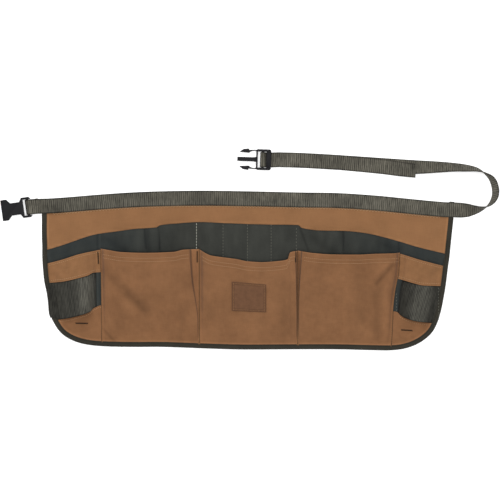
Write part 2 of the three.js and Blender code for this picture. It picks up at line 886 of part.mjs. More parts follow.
// The nylon panel, with the rear pockets between its sewn lines
function rearPocketPanel() {
  const isLow = (place) => place.y < apronHeight / 4;
  const leftRun = stretch(
    (place) => place.y < nylonTop(place.x),
    (place) => isLow(place) && place.x > nylonHem.left * apronWidth,
  );
  const rightRun = stretch(
    (place) => place.x > 0 && place.y > nylonTop(place.x),
    (place) => isLow(place) && place.x > nylonHem.right * apronWidth,
  );
  const leftTop = leftRun[0];
  const rightTop = rightRun[0];
  const leftHem = leftRun[leftRun.length - 1];
  const rightHem = rightRun[rightRun.length - 1];
  const topLine = edgeLine(leftTop, rightTop, nylonTop);
  const hemLine = edgeLine(leftHem, rightHem, hemUp);
  const patch = coonsPatch(topLine, hemLine, walk(leftRun), walk(rightRun));
  const spread = rightTop.x - leftTop.x;
  const columns = nylonRiseRows.map((row) => clamp((row.across * apronWidth - leftTop.x) / spread, 0, 1));
  return sheet(
    (a, d) => {
      const at = patch(a, d);
      return new THREE.Vector3(at.x, at.y, nylonHeight(at.x, at.y));
    },
    columns,
    rearRows,
    nylonWall,
  );
}

const pouchRise = reader(pouchSectionRows, "span", "rise");
const pouchFall = reader(pouchFallRows, "down", "rise");

// Where the seams, feet and fold of a pouch lie at a share of the way down
function pouchAnchors(pouch, down) {
  const near = reader(pouch.near, "down", "across")(down) * apronWidth;
  const far = reader(pouch.far, "down", "across")(down) * apronWidth;
  const foot = footWidth * Math.sign(far - near);
  const fold = lerp(near, far, reader(pouch.fold, "down", "share")(down));
  return [near, near + foot, fold, far - foot, far];
}

function spanPlace(anchors, span) {
  const i = Math.min(Math.floor(span), anchors.length - 2);
  return lerp(anchors[i], anchors[i + 1], span - i);
}

function spanAt(anchors, x) {
  const turn = Math.sign(anchors[anchors.length - 1] - anchors[0]);
  let i = 0;
  while (i < anchors.length - 2 && (x - anchors[i + 1]) * turn > 0) i += 1;
  return i + (x - anchors[i]) / (anchors[i + 1] - anchors[i]);
}

// How deep the creases of a pouch dent its front, as a share of its own rise
function creaseDent(pouch, across, down) {
  return pouch.creases.reduce((dent, crease) => {
    const from = new THREE.Vector2(crease.fromAcross, crease.fromDown);
    const along = new THREE.Vector2(crease.toAcross, crease.toDown).sub(from);
    const at = new THREE.Vector2(across, down);
    const t = clamp(at.clone().sub(from).dot(along) / along.lengthSq(), 0, 1);
    const off = at.distanceTo(from.addScaledVector(along, t)) / crease.width;
    return dent + crease.depth * Math.exp(-off * off);
  }, 0);
}

// The underside of a pouch's front
function pouchHeight(pouch, x, y, down) {
  const anchors = pouchAnchors(pouch, down);
  const across = (x - anchors[0]) / (anchors[4] - anchors[0]);
  const fullness = 1 - creaseDent(pouch, across, down);
  const rise = pouchRise(spanAt(anchors, x)) * pouchFall(down) * fullness;
  return frontFloor + edgeRise(x, y) + pouchGape * rise;
}

function pouchPlace(pouch, span, down) {
  const mouthX = spanPlace(pouchAnchors(pouch, 0), span);
  const x = spanPlace(pouchAnchors(pouch, down), span);
  const hemX = spanPlace(pouchAnchors(pouch, 1), span);
  const y = lerp(edgeReader(pouch.mouth)(mouthX), hemUp(hemX), down);
  return new THREE.Vector3(x, y, pouchHeight(pouch, x, y, down));
}

function pouchFront(pouch) {
  const spans = pouchSectionRows.map((row) => row.span);
  const downs = pouchFallRows.map((row) => row.down);
  return sheet((span, down) => pouchPlace(pouch, span, down), spans, downs, canvasWall);
}

// The patch lies on the middle pouch
function labelPatch() {
  const pouch = pouches.find(({ name }) => name === "middle_pouch");
  const mouth = edgeReader(pouch.mouth);
  const lean = radians(patchPlace.lean);
  return sheet(
    (a, d) => {
      const across = (a - 0.5) * patchWidth;
      const up = (0.5 - d) * patchHeight;
      const x = patchPlace.across * apronWidth + across * Math.cos(lean) - up * Math.sin(lean);
      const y = patchPlace.up * apronHeight + across * Math.sin(lean) + up * Math.cos(lean);
      const down = (mouth(x) - y) / (mouth(x) - hemUp(x));
      return new THREE.Vector3(x, y, pouchHeight(pouch, x, y, down) + canvasWall + layerGap);
    },
    patchSteps,
    patchSteps,
    canvasWall,
  );
}

const arch = reader(archRows, "out", "rise");

// The inner end of a side's pieces at a height, beside the pouch seam
function seamReader(side, inset = 0) {
  const across = reader(side.inner.slice().reverse(), "up", "across");
  return (y) => across(y / apronHeight) * apronWidth - side.turn * inset;
}

// One strip of a side between two edge lines, from the pouch seam out into the tape
function sideStrip(side, topRows, hemRows, rise, wall, topGap = 0, inset = 0) {
  const top = edgeReader(topRows);
  const hem = edgeReader(hemRows);
  const inner = seamReader(side, inset);
  const columns = archRows.map((row) => row.out);
  return sheet(
    (out, down) => {
      let x = lerp(inner(apronHeight / 2), edgeAcross(apronHeight / 2, side.turn), out);
      let y = 0;
      for (let pass = 0; pass < softening; pass += 1) {
        y = lerp(top(x) - topGap, hem(x), down);
        x = lerp(inner(y), edgeAcross(y, side.turn), out);
      }
      return new THREE.Vector3(x, y, frontFloor + edgeRise(x, y) + arch(out) * rise(down));
    },
    columns,
    stripRows,
    wall,
  );
}

function sideBand(side) {
  const gape = (down) => lerp(bandTopArch, bandHemArch, down);
  return sideStrip(side, side.bandTop, side.bandHem, gape, canvasWall);
}

function hammerLoop(side) {
  const gape = (down) => lerp(loopTopArch, loopHemArch, down);
  return sideStrip(side, side.bandHem, side.loopHem, gape, webbingWall, layerGap, loopInset);
}

// The canvas of a lower corner, from the loop down to the tape
function cornerPanel(side) {
  const loopHem = edgeReader(side.loopHem);
  const top = (x) => loopHem(x) - layerGap;
  const inner = seamReader(side);
  const isLeft = side.turn > 0;
  const hemX = inner(0) - side.turn * cornerTuck;
  const below = crossing(clothEdge, (place) => place.y < top(place.x) && isLeft);
  const above = crossing(clothEdge, (place) => place.x > hemX && place.y > top(place.x));
  const hem = crossing(clothEdge, (place) => place.y < apronHeight / 4 && place.x > hemX);
  const run = isLeft ? clothEdge.slice(below, hem) : clothEdge.slice(hem, above).reverse();
  const outer = walk(run);
  const innerTop = inner(apronHeight / 4);
  const innerHem = inner(0);
  const innerTopPlace = new THREE.Vector2(innerTop, top(innerTop));
  const innerHemPlace = new THREE.Vector2(innerHem, hemUp(innerHem));
  const innerLine = (d) => {
    if (d === 0) return innerTopPlace.clone();
    const y = lerp(innerTopPlace.y, innerHemPlace.y, d);
    return new THREE.Vector2(inner(y), y);
  };
  const topLine = edgeLine(run[0], innerTopPlace, top);
  const hemLine = edgeLine(run[run.length - 1], innerLine(1), hemUp);
  const patch = coonsPatch(topLine, hemLine, outer, innerLine);
  return sheet(
    (a, d) => {
      const at = patch(a, d);
      return new THREE.Vector3(at.x, at.y, frontFloor + edgeRise(at.x, at.y));
    },
    cornerSteps,
    cornerSteps,
    canvasWall,
  );
}

// A place in a buckle's own frame: along its axis, across it, and above the table
function buckleFrame(place, tilt) {
  const turn = radians(tilt);
  const along = new THREE.Vector3(Math.cos(turn), Math.sin(turn), 0);
  const side = new THREE.Vector3(-Math.sin(turn), Math.cos(turn), 0);
  const origin = new THREE.Vector3(place.across * apronWidth, place.up * apronHeight, 0);
  const at = (x, z) => origin.clone().addScaledVector(along, x).setZ(z);
  return { along, side, origin, turn, at };
}

const socketFrame = buckleFrame(socketPlace, socketTilt);
const plugFrame = buckleFrame(plugPlace, plugTilt);

// The middle of a strap that turns round a bar's corners: arcs of the strap's own bend
const bend = seatGap + webbingWall / 2;

function cornerTurn(x, z, fromDegrees, toDegrees) {
  return [0, 0.5, 1].map((t) => {
    const angle = radians(lerp(fromDegrees, toDegrees, t));
    return [x + bend * Math.cos(angle), z + bend * Math.sin(angle)];
  });
}

// Flat stations along a table's middle line
function lineStations(rows, steps) {
  const curve = new THREE.CatmullRomCurve3(
    rows.map(({ across, up }) => new THREE.Vector3(across * apronWidth, up * apronHeight, 0)),
    false,
    "centripetal",
  );
  return Array.from({ length: steps + 1 }, (unused, i) => {
    const share = i / steps;
    const row = share * (rows.length - 1);
    const tangent = curve.getTangent(share);
    return { share, row, place: curve.getPoint(share), left: new THREE.Vector3(-tangent.y, tangent.x, 0) };
  });
}

function columnAt(rows, row, column) {
  const numbered = rows.map((entry, i) => ({ row: i, [column]: entry[column] }));
  return reader(numbered, "row", column)(row);
}

// The belt, from its flap sewn under the socket's bar to the right-hand corner of the apron
function waistBelt() {
  const barLeft = -socketBarThrough / 2;
  const barTop = socketThickness / 2 + socketBarHeight / 2;
  const barBottom = socketThickness / 2 - socketBarHeight / 2;
  const wrap = [
    [flapReach, barBottom - bend - flapSag],
    [flapReach / 2, barBottom - bend],
    ...cornerTurn(barLeft, barBottom, 270, 180),
    ...cornerTurn(barLeft, barTop, 180, 90),
    [socketBarThrough / 2, barTop + bend],
  ];
  const wrapStations = wrap.map(([x, z]) => ({ point: socketFrame.at(x, z), side: socketFrame.side }));
  const along = lineStations(beltRows, beltSteps).map(({ row, place, left }) => {
    const z = beltFloor + webbingWall / 2 + beltOverTape * columnAt(beltRows, row, "lift");
    return { point: place.setZ(z), side: left };
  });
  return ribbon([...wrapStations, ...along], beltWidth, webbingWall);
}

// The free strap: round its turn on the table, through the plug's bars and back over itself
function freeStrap() {
  const half = beltWidth / 2;
  const main = lineStations(strapRows, strapSteps).map(({ row, place, left }) => {
    const lean = radians(columnAt(strapRows, row, "lean"));
    const lift = columnAt(strapRows, row, "lift") * (beltFloor + beltOverTape);
    const side = left.clone().multiplyScalar(Math.cos(lean)).setZ(Math.sin(lean));
    const z = lift + half * Math.sin(lean) + (webbingWall / 2) * Math.abs(Math.cos(lean));
    const along = new THREE.Vector3(left.y, -left.x, 0);
    return { point: place.setZ(z), side, normal: along.cross(side).normalize() };
  });
  const passSide = plugFrame.side.clone().negate();
  const bars = plugBars();
  const pass = [
    [bars.endRight, webbingWall / 2],
    [bars.midLeft, webbingWall / 2],
    ...cornerTurn(bars.midLeft, bars.midBottom, 270, 180).slice(1),
    ...cornerTurn(bars.midLeft, bars.midTop, 180, 90),
    ...cornerTurn(bars.midRight, bars.midTop, 90, 0),
    ...cornerTurn(bars.endLeft, bars.endBottom, 180, 270),
    [bars.endRight, bars.endBottom - bend],
  ].map(([x, z]) => ({ point: plugFrame.at(x, z), side: passSide }));
  const ply = webbingWall + seatGap;
  const slip = reader(tailRows, "across", "slip");
  const tail = main
    .filter(({ point }) => point.y > apronHeight && point.x < tailEnd * apronWidth)
    .map(({ point, side, normal }) => {
      const off = slip(point.x / apronWidth) * beltWidth;
      return { point: point.clone().addScaledVector(normal, ply).addScaledVector(side, off), side };
    })
    .reverse();
  return ribbon([...main, ...pass, ...tail], beltWidth, webbingWall);
}

// The plug's two crossbars, in its own frame
function plugBars() {
  const windowLeft = (plugCrossBar - plugFrameLength) / 2;
  const midLeft = windowLeft + plugInnerSlot;
  const midRight = midLeft + plugBarThrough;
  const endRight = plugFrameLength / 2;
  return {
    windowLeft,
    midLeft,
    midRight,
    midBottom: webbingWall + seatGap,
    midTop: webbingWall + seatGap + plugBarHeight,
    endLeft: endRight - plugEndBar,
    endRight,
    endBottom: 2 * (webbingWall + seatGap),
    endTop: 2 * (webbingWall + seatGap) + plugEndBarHeight,
  };
}

// A geometry as a solid that can be cut and joined
function solidOf(geometry) {
  const bare = geometry.clone();
  bare.deleteAttribute("normal");
  bare.deleteAttribute("uv");
  const merged = mergeVertices(bare, weldDistance);
  return new wasm.Manifold(
    new wasm.Mesh({
      numProp: 3,
      vertProperties: new Float32Array(merged.attributes.position.array),
      triVerts: new Uint32Array(merged.index.array),
    }),
  );
}

function geometryFrom(solid) {
  const mesh = solid.getMesh();
  const geometry = new THREE.BufferGeometry();
  geometry.setAttribute("position", new THREE.BufferAttribute(new Float32Array(mesh.vertProperties), 3));
  geometry.setIndex(new THREE.BufferAttribute(new Uint32Array(mesh.triVerts), 1));
  return geometry;
}

// A block between two corners
function block(fromX, toX, halfWidth, fromZ, toZ) {
  const geometry = new THREE.BoxGeometry(toX - fromX, halfWidth * 2, toZ - fromZ);
  return solidOf(geometry.translate((fromX + toX) / 2, 0, (fromZ + toZ) / 2));
}

// A plan outline raised between two heights, its upper and lower edges eased
function raised(points, fromZ, toZ, rounding) {
  const shape = new THREE.Shape(points.map(([x, y]) => new THREE.Vector2(x, y)));
  const geometry = new THREE.ExtrudeGeometry(shape, {
    depth: toZ - fromZ - 2 * rounding,
    bevelEnabled: true,
    bevelThickness: rounding,
    bevelSize: rounding,
    bevelOffset: -rounding,
    bevelSegments: 1,
  });
  return solidOf(geometry.translate(0, 0, fromZ + rounding));
}

function socketBuckle() {
  const length = socketReach + socketTail;
  const halfWidth = socketWidth / 2;
  const edge = socketRows.map(({ along, half }) => [along * length - socketReach, half * halfWidth]);
  const mirrored = edge.map(([x, y]) => [x, -y]);
  const middle = socketThickness / 2;
  const passHalf = strapPassWidth / 2;
  const barHalf = socketBarThrough / 2;
  const barTop = middle + socketBarHeight / 2;
  const barBottom = middle - socketBarHeight / 2;
  const over = socketThickness + cutOvershoot;
  const barPass = barHalf + cutOvershoot;
  let body = raised([...mirrored, ...edge.reverse()], 0, socketThickness, roundingSize);
  body = body.subtract(
    block(
      -socketReach - cutOvershoot,
      -socketReach + socketCavityDepth,
      socketCavityWidth / 2,
      middle - socketCavityHeight / 2,
      middle + socketCavityHeight / 2,
    ),
  );
  body = body.subtract(block(-barHalf - socketSlot, -barHalf, passHalf, -cutOvershoot, over));
  body = body.subtract(block(barHalf, socketTail + cutOvershoot, passHalf, -cutOvershoot, over));
  body = body.subtract(block(-barPass, barPass, passHalf, barTop, over));
  body = body.subtract(block(-barPass, barPass, passHalf, -cutOvershoot, barBottom));
  return geometryFrom(body);
}

function plugBuckle() {
  const bars = plugBars();
  const passHalf = strapPassWidth / 2;
  const left = bars.windowLeft - plugCrossBar;
  const halfWidth = plugFrameWidth / 2;
  const frameEdge = [
    [left, plugCorner - halfWidth],
    [left + plugCorner, -halfWidth],
    [bars.endRight - plugCorner, -halfWidth],
    [bars.endRight, plugCorner - halfWidth],
    [bars.endRight, halfWidth - plugCorner],
    [bars.endRight - plugCorner, halfWidth],
    [left + plugCorner, halfWidth],
    [left, halfWidth - plugCorner],
  ];
  const over = plugThickness + cutOvershoot;
  const endFrom = bars.endLeft - cutOvershoot;
  const endTo = bars.endRight + cutOvershoot;
  let body = raised(frameEdge, 0, plugThickness, roundingSize);
  body = body.subtract(block(bars.windowLeft, bars.endLeft, passHalf, -cutOvershoot, over));
  body = body.subtract(block(endFrom, endTo, passHalf, -cutOvershoot, bars.endBottom));
  body = body.subtract(block(endFrom, endTo, passHalf, bars.endTop, over));
  body = body.add(block(bars.midLeft, bars.midRight, passHalf + cutOvershoot, bars.midBottom, bars.midTop));
  const low = (plugThickness - prongThickness) / 2;
  const high = low + prongThickness;
  const root = left - prongRoot;
  const tip = left - plugReach;
  const prong = [
    [left + cutOvershoot, -prongRoot],
    [left + cutOvershoot, prongRoot],
    [root, prongWidth / 2],
    [tip, prongWidth / 2],
    [tip, -prongWidth / 2],
    [root, -prongWidth / 2],
  ];
  body = body.add(raised(prong, low, high, roundingSize / 2));
  for (const turn of [1, -1]) {
    const arm = armRows.map(({ along, off }) => [left - along * plugReach, turn * off * halfWidth]);
    body = body.add(raised(turn > 0 ? arm : arm.reverse(), low, high, roundingSize / 4));
  }
  return geometryFrom(body);
}

// The finishes of the real cloths and plastics
const finishes = {
  canvas: { color: 0x8d6344, roughness: 0.9, metalness: 0 },
  nylon: { color: 0x3a3b37, roughness: 0.75, metalness: 0 },
  webbing: { color: 0x55554a, roughness: 0.8, metalness: 0 },
  tape: { color: 0x3f3d37, roughness: 0.8, metalness: 0 },
  patch: { color: 0x6e4c35, roughness: 0.85, metalness: 0 },
  plastic: { color: 0x2b2a2e, roughness: 0.4, metalness: 0 },
};

const apron = new THREE.Group();

function addPiece(name, geometry, finish, holder = apron) {
  const mesh = new THREE.Mesh(geometry, new THREE.MeshStandardMaterial(finishes[finish]));
  mesh.geometry.computeVertexNormals();
  mesh.name = name;
  holder.add(mesh);
  return mesh;
}

function addBuckle(name, geometry, frame) {
  const holder = new THREE.Group();
  holder.position.copy(frame.origin);
  holder.rotation.z = frame.turn;
  addPiece(name, geometry, "plastic", holder);
  apron.add(holder);
}

addPiece("back_panel", backPanel(), "canvas");
addPiece("edge_binding", edgeBinding(), "tape");
addPiece("rear_pocket_panel", rearPocketPanel(), "nylon");
for (const pouch of pouches) addPiece(pouch.name, pouchFront(pouch), "canvas");
for (const side of sides) {
  addPiece(`${side.name}_side_band`, sideBand(side), "canvas");
  addPiece(`${side.name}_hammer_loop`, hammerLoop(side), "webbing");
  addPiece(`${side.name}_corner_panel`, cornerPanel(side), "canvas");
}
addPiece("label_patch", labelPatch(), "patch");
addPiece("waist_belt", waistBelt(), "webbing");
addPiece("free_strap", freeStrap(), "webbing");
addBuckle("socket_buckle", socketBuckle(), socketFrame);
addBuckle("plug_buckle", plugBuckle(), plugFrame);

// The origin lies on the table, in the middle of everything
const bounds = new THREE.Box3().setFromObject(apron);
const middle = bounds.getCenter(new THREE.Vector3());
apron.position.set(-middle.x, -middle.y, -bounds.min.z);

export default apron;
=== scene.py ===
# A carpenter's nail apron laid flat on a white table and seen from straight above.
import math

import bmesh
import bpy
import numpy as np
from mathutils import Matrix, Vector, noise
from mathutils.bvhtree import BVHTree


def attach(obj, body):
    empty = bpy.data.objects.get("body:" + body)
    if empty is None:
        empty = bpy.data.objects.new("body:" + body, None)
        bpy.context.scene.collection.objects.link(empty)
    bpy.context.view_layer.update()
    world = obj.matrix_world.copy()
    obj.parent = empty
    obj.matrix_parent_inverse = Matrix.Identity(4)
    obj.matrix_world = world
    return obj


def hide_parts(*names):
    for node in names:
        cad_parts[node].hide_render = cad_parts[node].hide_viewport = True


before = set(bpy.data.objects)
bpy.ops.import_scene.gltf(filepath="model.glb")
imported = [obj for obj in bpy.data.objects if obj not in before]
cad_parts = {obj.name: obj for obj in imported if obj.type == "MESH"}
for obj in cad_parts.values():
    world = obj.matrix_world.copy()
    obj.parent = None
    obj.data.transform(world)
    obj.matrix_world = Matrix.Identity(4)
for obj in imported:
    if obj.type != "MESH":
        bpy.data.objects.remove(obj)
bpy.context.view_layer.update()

# sizes in millimetres, shares in the tables run over the apron's width and height
apronWidth, apronHeight = 700, 271
apronShift = np.array([-4.283, -171.5, 0.0])  # from the middle of the hem to the frame's origin
canvasWall, nylonWall, webbingWall, tapeWall = 1.1, 1.0, 1.6, 0.9
seatGap, layerGap = 0.3, 0.6
tapeWidth, beltWidth = 8.5, 25.4
liftRun, panelTuck = 14, 7  # how far from the tape the cloth starts to lift, and how far it goes under the belt
pouchGape, rearGape, rearDepth, footWidth = 14, 8, 72, 2
bandArch, loopArch, loopInset = (7.7, 9), (7.5, 16), 8  # heights at the top and at the hem of each arch
hemDepth, hemRows = 17, (9.4, 15.3)  # the pouches' turned mouths and the stitch rows below them

edgeLift = tapeWall + seatGap
nylonFloor = canvasWall + layerGap
frontFloor = nylonFloor + nylonWall + layerGap
tapeHeights = [
    edgeLift + canvasWall + seatGap + tapeWall,
    edgeLift + nylonFloor + nylonWall + seatGap + tapeWall,
    edgeLift + frontFloor + webbingWall + seatGap + tapeWall,
]
beltFloor = canvasWall + layerGap
beltOverTape = tapeHeights[0] + seatGap - beltFloor

# outer edge of the tape, with the plies that it closes over
outlineTable = {
    "across": [
        -0.5, -0.5, -0.5, -0.499, -0.499, -0.498, -0.494, -0.489, -0.484, -0.48, -0.474,
        -0.467, -0.459, -0.448, -0.43, -0.408, -0.384, -0.35, -0.286, -0.206, -0.11,
        -0.019, 0.1, 0.22, 0.3, 0.347, 0.377, 0.404, 0.426, 0.445, 0.458, 0.467, 0.473,
        0.479, 0.486, 0.489, 0.491, 0.495, 0.499, 0.501
    ],
    "up": [
        0.935, 0.85, 0.72, 0.65, 0.6, 0.55, 0.436, 0.374, 0.303, 0.23, 0.19, 0.157, 0.126,
        0.097, 0.068, 0.046, 0.033, 0.025, 0.021, 0.021, 0.012, 0.005, 0.006, 0.006, 0.001,
        0, 0.009, 0.031, 0.063, 0.107, 0.165, 0.236, 0.306, 0.396, 0.535, 0.585, 0.635,
        0.73, 0.83, 0.93
    ],
    "plies": [
        1, 1, 1, 2, 2, 3, 3, 3, 3, 3, 3, 3, 3, 3, 3, 3, 3, 3, 3, 3, 3, 3, 3, 3, 3, 3, 3, 3,
        3, 3, 3, 3, 3, 3, 3, 2, 2, 1, 1, 1
    ],
}

# belt and free strap: lift 1 passes over the tape, lean is degrees up onto the outer edge
beltTable = {
    "across": [
        -0.499, -0.485, -0.462, -0.427, -0.342, -0.25, -0.119, 0.005, 0.127, 0.219, 0.312,
        0.375, 0.433, 0.463, 0.482, 0.493
    ],
    "up": [
        0.903, 0.9035, 0.907, 0.914, 0.932, 0.946, 0.953, 0.949, 0.942, 0.938, 0.922,
        0.906, 0.891, 0.884, 0.8805, 0.88
    ],
    "lift": [1, 1, 0.8, 0, 0, 0, 0, 0, 0, 0, 0, 0, 0, 0.8, 1, 1],
}
strapTable = {
    "across": [
        0.4939, 0.503, 0.515, 0.53, 0.546, 0.564, 0.58, 0.594, 0.601, 0.602, 0.599, 0.592,
        0.574, 0.557, 0.527, 0.496, 0.467, 0.438, 0.411, 0.37, 0.333, 0.224, 0.127, 0.075
    ],
    "up": [
        0.88, 0.879, 0.8775, 0.876, 0.877, 0.884, 0.899, 0.929, 0.966, 1.002, 1.041, 1.076,
        1.11, 1.13, 1.141, 1.146, 1.147, 1.147, 1.147, 1.151, 1.157, 1.176, 1.19, 1.194
    ],
    "lean": [
        0, 2, 8, 25, 49, 72, 90, 109, 119, 121, 120, 112, 90, 75, 61, 53, 43, 33, 22, 9, 0,
        0, 0, 0
    ],
    "lift": [1, 1, 0.55, 0, 0, 0, 0, 0, 0, 0, 0, 0, 0, 0, 0, 0, 0, 0, 0, 0, 0, 0, 0, 0],
}
tailTable = {
    "across": [0.224, 0.333, 0.37, 0.411],
    "slip": [0, 0.09, 0.18, 0.31],
}

# upper edge of the nylon, how far it stands off the panel, and how that dies away below
nylonTopTable = {
    "across": [
        -0.5, -0.456, -0.422, -0.398, -0.369, -0.318, -0.272, -0.22, -0.214, -0.175,
        -0.118, -0.055, 0.03, 0.123, 0.13, 0.175, 0.234, 0.287, 0.329, 0.37, 0.409, 0.5
    ],
    "up": [
        0.62, 0.653, 0.683, 0.705, 0.726, 0.744, 0.76, 0.77, 0.782, 0.793, 0.803, 0.796,
        0.788, 0.784, 0.767, 0.75, 0.747, 0.732, 0.708, 0.679, 0.648, 0.592
    ],
}
nylonRiseTable = {
    "across": [
        -0.5, -0.455, -0.41, -0.375, -0.358, -0.335, -0.3, -0.268, -0.251, -0.238, -0.217,
        -0.185, -0.15, -0.126, -0.118, -0.105, -0.09, -0.074, -0.06, -0.046, -0.03, -0.014,
        0, 0.014, 0.03, 0.045, 0.058, 0.072, 0.089, 0.107, 0.12, 0.133, 0.16, 0.2, 0.224,
        0.234, 0.245, 0.285, 0.325, 0.346, 0.366, 0.385, 0.42, 0.458, 0.5
    ],
    "rise": [
        0, 0.1, 0.12, 0.02, 0, 0.45, 0.92, 1, 0.84, 0.9, 1, 0.95, 0.55, 0.04, 0, 0.38,
        0.66, 0.4, 0.04, 0.4, 0.66, 0.4, 0.04, 0.4, 0.66, 0.4, 0.04, 0.4, 0.66, 0.35, 0,
        0.2, 0.8, 1, 0.98, 0.84, 0.96, 0.9, 0.5, 0.05, 0, 0.04, 0.12, 0.1, 0
    ],
}
nylonFadeTable = {
    "down": [0, 0.12, 0.4, 0.7, 1],
    "rise": [0.94, 1, 0.72, 0.22, 0],
}

# a pouch across its span and down its fall
pouchSectionTable = {
    "span": [0, 1, 1.035, 1.1, 1.24, 1.42, 1.6, 1.78, 1.92, 2, 2.2, 2.6, 3, 4],
    "rise": [0, 0, 0.6, 0.86, 0.97, 1, 1, 0.97, 0.9, 0.78, 0.34, 0.16, 0, 0],
}
pouchFallTable = {
    "down": [0, 0.09, 0.24, 0.42, 0.6, 0.76, 0.88, 0.95, 1],
    "rise": [0.97, 1, 0.95, 0.79, 0.55, 0.3, 0.1, 0, 0],
}
archTable = {
    "out": [0, 0.07, 0.15, 0.26, 0.4, 0.52, 0.64, 0.75, 0.83, 0.87, 1],
    "rise": [0, 0, 0.5, 0.86, 1, 0.97, 0.76, 0.38, 0.06, 0, 0],
}

# each front runs from its near seam to its fold, which closes towards the far seam on its way down
pouches = [
    {
        "name": "left_pouch",
        "near": {"down": [0, 1], "across": [-0.357, -0.354]},
        "far": {"down": [0, 1], "across": [-0.1185, -0.1185]},
        "fold": {"down": [0, 0.33, 0.52, 0.7, 1], "share": [0.894, 0.922, 0.956, 0.98, 0.986]},
        "mouth": {
            "across": [-0.357, -0.336, -0.306, -0.25, -0.18, -0.155, -0.118],
            "up": [0.637, 0.627, 0.615, 0.61, 0.616, 0.63, 0.634],
        },
        "creases": [
            {"from": (0.14, 0.1), "to": (0.46, 0.62), "depth": 0.13, "width": 0.09},
        ],
    },
    {
        "name": "middle_pouch",
        "near": {"down": [0, 1], "across": [-0.1175, -0.1175]},
        "far": {"down": [0, 1], "across": [0.1205, 0.1205]},
        "fold": {"down": [0, 0.33, 0.52, 0.7, 1], "share": [0.968, 0.978, 0.982, 0.985, 0.986]},
        "mouth": {
            "across": [-0.118, -0.105, -0.09, -0.06, -0.03, 0, 0.035, 0.07, 0.096, 0.102, 0.121],
            "up": [0.633, 0.612, 0.594, 0.582, 0.572, 0.557, 0.552, 0.558, 0.569, 0.614, 0.623],
        },
        "creases": [],
    },
    {
        "name": "right_pouch",
        "near": {"down": [0, 0.2, 0.4, 0.6, 0.8, 1], "across": [0.3685, 0.3655, 0.357, 0.352, 0.35, 0.347]},
        "far": {"down": [0, 1], "across": [0.1215, 0.1215]},
        "fold": {"down": [0, 0.33, 0.52, 0.7, 1], "share": [0.952, 0.976, 0.984, 0.986, 0.986]},
        "mouth": {
            "across": [0.121, 0.157, 0.207, 0.268, 0.308, 0.351, 0.37],
            "up": [0.624, 0.609, 0.6, 0.599, 0.604, 0.607, 0.612],
        },
        "creases": [
            {"from": (0.06, 0.14), "to": (0.27, 0.3), "depth": 0.1, "width": 0.05},
            {"from": (0.3, 0.55), "to": (0.52, 0.86), "depth": 0.1, "width": 0.07},
        ],
    },
]

# the bands, loops and corners beyond the pouches; turn is 1 where inwards is to the right
sides = [
    {
        "name": "left", "turn": 1,
        "inner": {"up": [0.637, 0.03], "across": [-0.3578, -0.3548]},
        "bandTop": {"across": [-0.5, -0.452, -0.409, -0.36], "up": [0.535, 0.566, 0.601, 0.629]},
        "bandHem": {
            "across": [-0.5, -0.452, -0.409, -0.388, -0.375, -0.36],
            "up": [0.419, 0.429, 0.453, 0.468, 0.486, 0.489],
        },
        "loopHem": {
            "across": [-0.5, -0.469, -0.435, -0.405, -0.384, -0.376, -0.36],
            "up": [0.18, 0.19, 0.203, 0.221, 0.241, 0.262, 0.283],
        },
    },
    {
        "name": "right", "turn": -1,
        "inner": {
            "up": [0.612, 0.49, 0.369, 0.248, 0.126, 0.005],
            "across": [0.3695, 0.3665, 0.358, 0.353, 0.351, 0.348],
        },
        "bandTop": {"across": [0.36, 0.374, 0.421, 0.5], "up": [0.61, 0.601, 0.563, 0.512]},
        "bandHem": {"across": [0.355, 0.37, 0.396, 0.426, 0.5], "up": [0.452, 0.444, 0.424, 0.406, 0.4]},
        "loopHem": {
            "across": [0.35, 0.361, 0.371, 0.389, 0.409, 0.446, 0.5],
            "up": [0.247, 0.243, 0.219, 0.196, 0.182, 0.173, 0.17],
        },
    },
]


def reader(keys, values):
    # a smooth curve through a table's column, without overshoot
    keys, values = np.array(keys, float), np.array(values, float)
    run = np.diff(keys)
    slope = np.diff(values) / run
    tangent = np.concatenate([slope[:1], np.zeros(len(slope) - 1), slope[-1:]])
    product, total = slope[:-1] * slope[1:], slope[:-1] + slope[1:]
    tangent[1:-1] = np.where(product > 0, 2 * product / np.where(product > 0, total, 1), 0)

    def read(value):
        at = np.clip(value, keys[0], keys[-1])
        i = np.clip(np.searchsorted(keys, at) - 1, 0, len(run) - 1)
        t = (at - keys[i]) / run[i]
        return (
            (2 * t**3 - 3 * t**2 + 1) * values[i]
            + (t**3 - 2 * t**2 + t) * run[i] * tangent[i]
            + (3 * t**2 - 2 * t**3) * values[i + 1]
            + (t**3 - t**2) * run[i] * tangent[i + 1]
        )

    return read


def edgeReader(table):
    up = reader(table["across"], table["up"])
    return lambda x: up(np.asarray(x) / apronWidth) * apronHeight


def mix(a, b, t):
    return a + (b - a) * t


def bell(distance, width, power=2):
    # 1 at no distance, dying away over the width
    return np.exp(-((distance / width) ** power))


def curveThrough(points, steps):
    # a centripetal curve through every point, with so many steps from one to the next
    points = np.array(points, float)
    padded = np.vstack([2 * points[0] - points[1], points, 2 * points[-1] - points[-2]])
    found = []
    for i in range(len(points) - 1):
        p = padded[i : i + 4]
        gap = np.maximum(np.linalg.norm(np.diff(p, axis=0), axis=1) ** 0.5, 1e-4)
        start = (p[1] - p[0]) / gap[0] - (p[2] - p[0]) / (gap[0] + gap[1]) + (p[2] - p[1]) / gap[1]
        end = (p[2] - p[1]) / gap[1] - (p[3] - p[1]) / (gap[1] + gap[2]) + (p[3] - p[2]) / gap[2]
        start, end = start * gap[1], end * gap[1]
        square = 3 * (p[2] - p[1]) - 2 * start - end
        cube = 2 * (p[1] - p[2]) + start + end
        for t in np.arange(steps) / steps:
            found.append(p[1] + start * t + square * t**2 + cube * t**3)
    return np.array(found + [points[-1]])


def unit(vectors):
    return vectors / np.maximum(np.linalg.norm(vectors, axis=-1, keepdims=True), 1e-9)


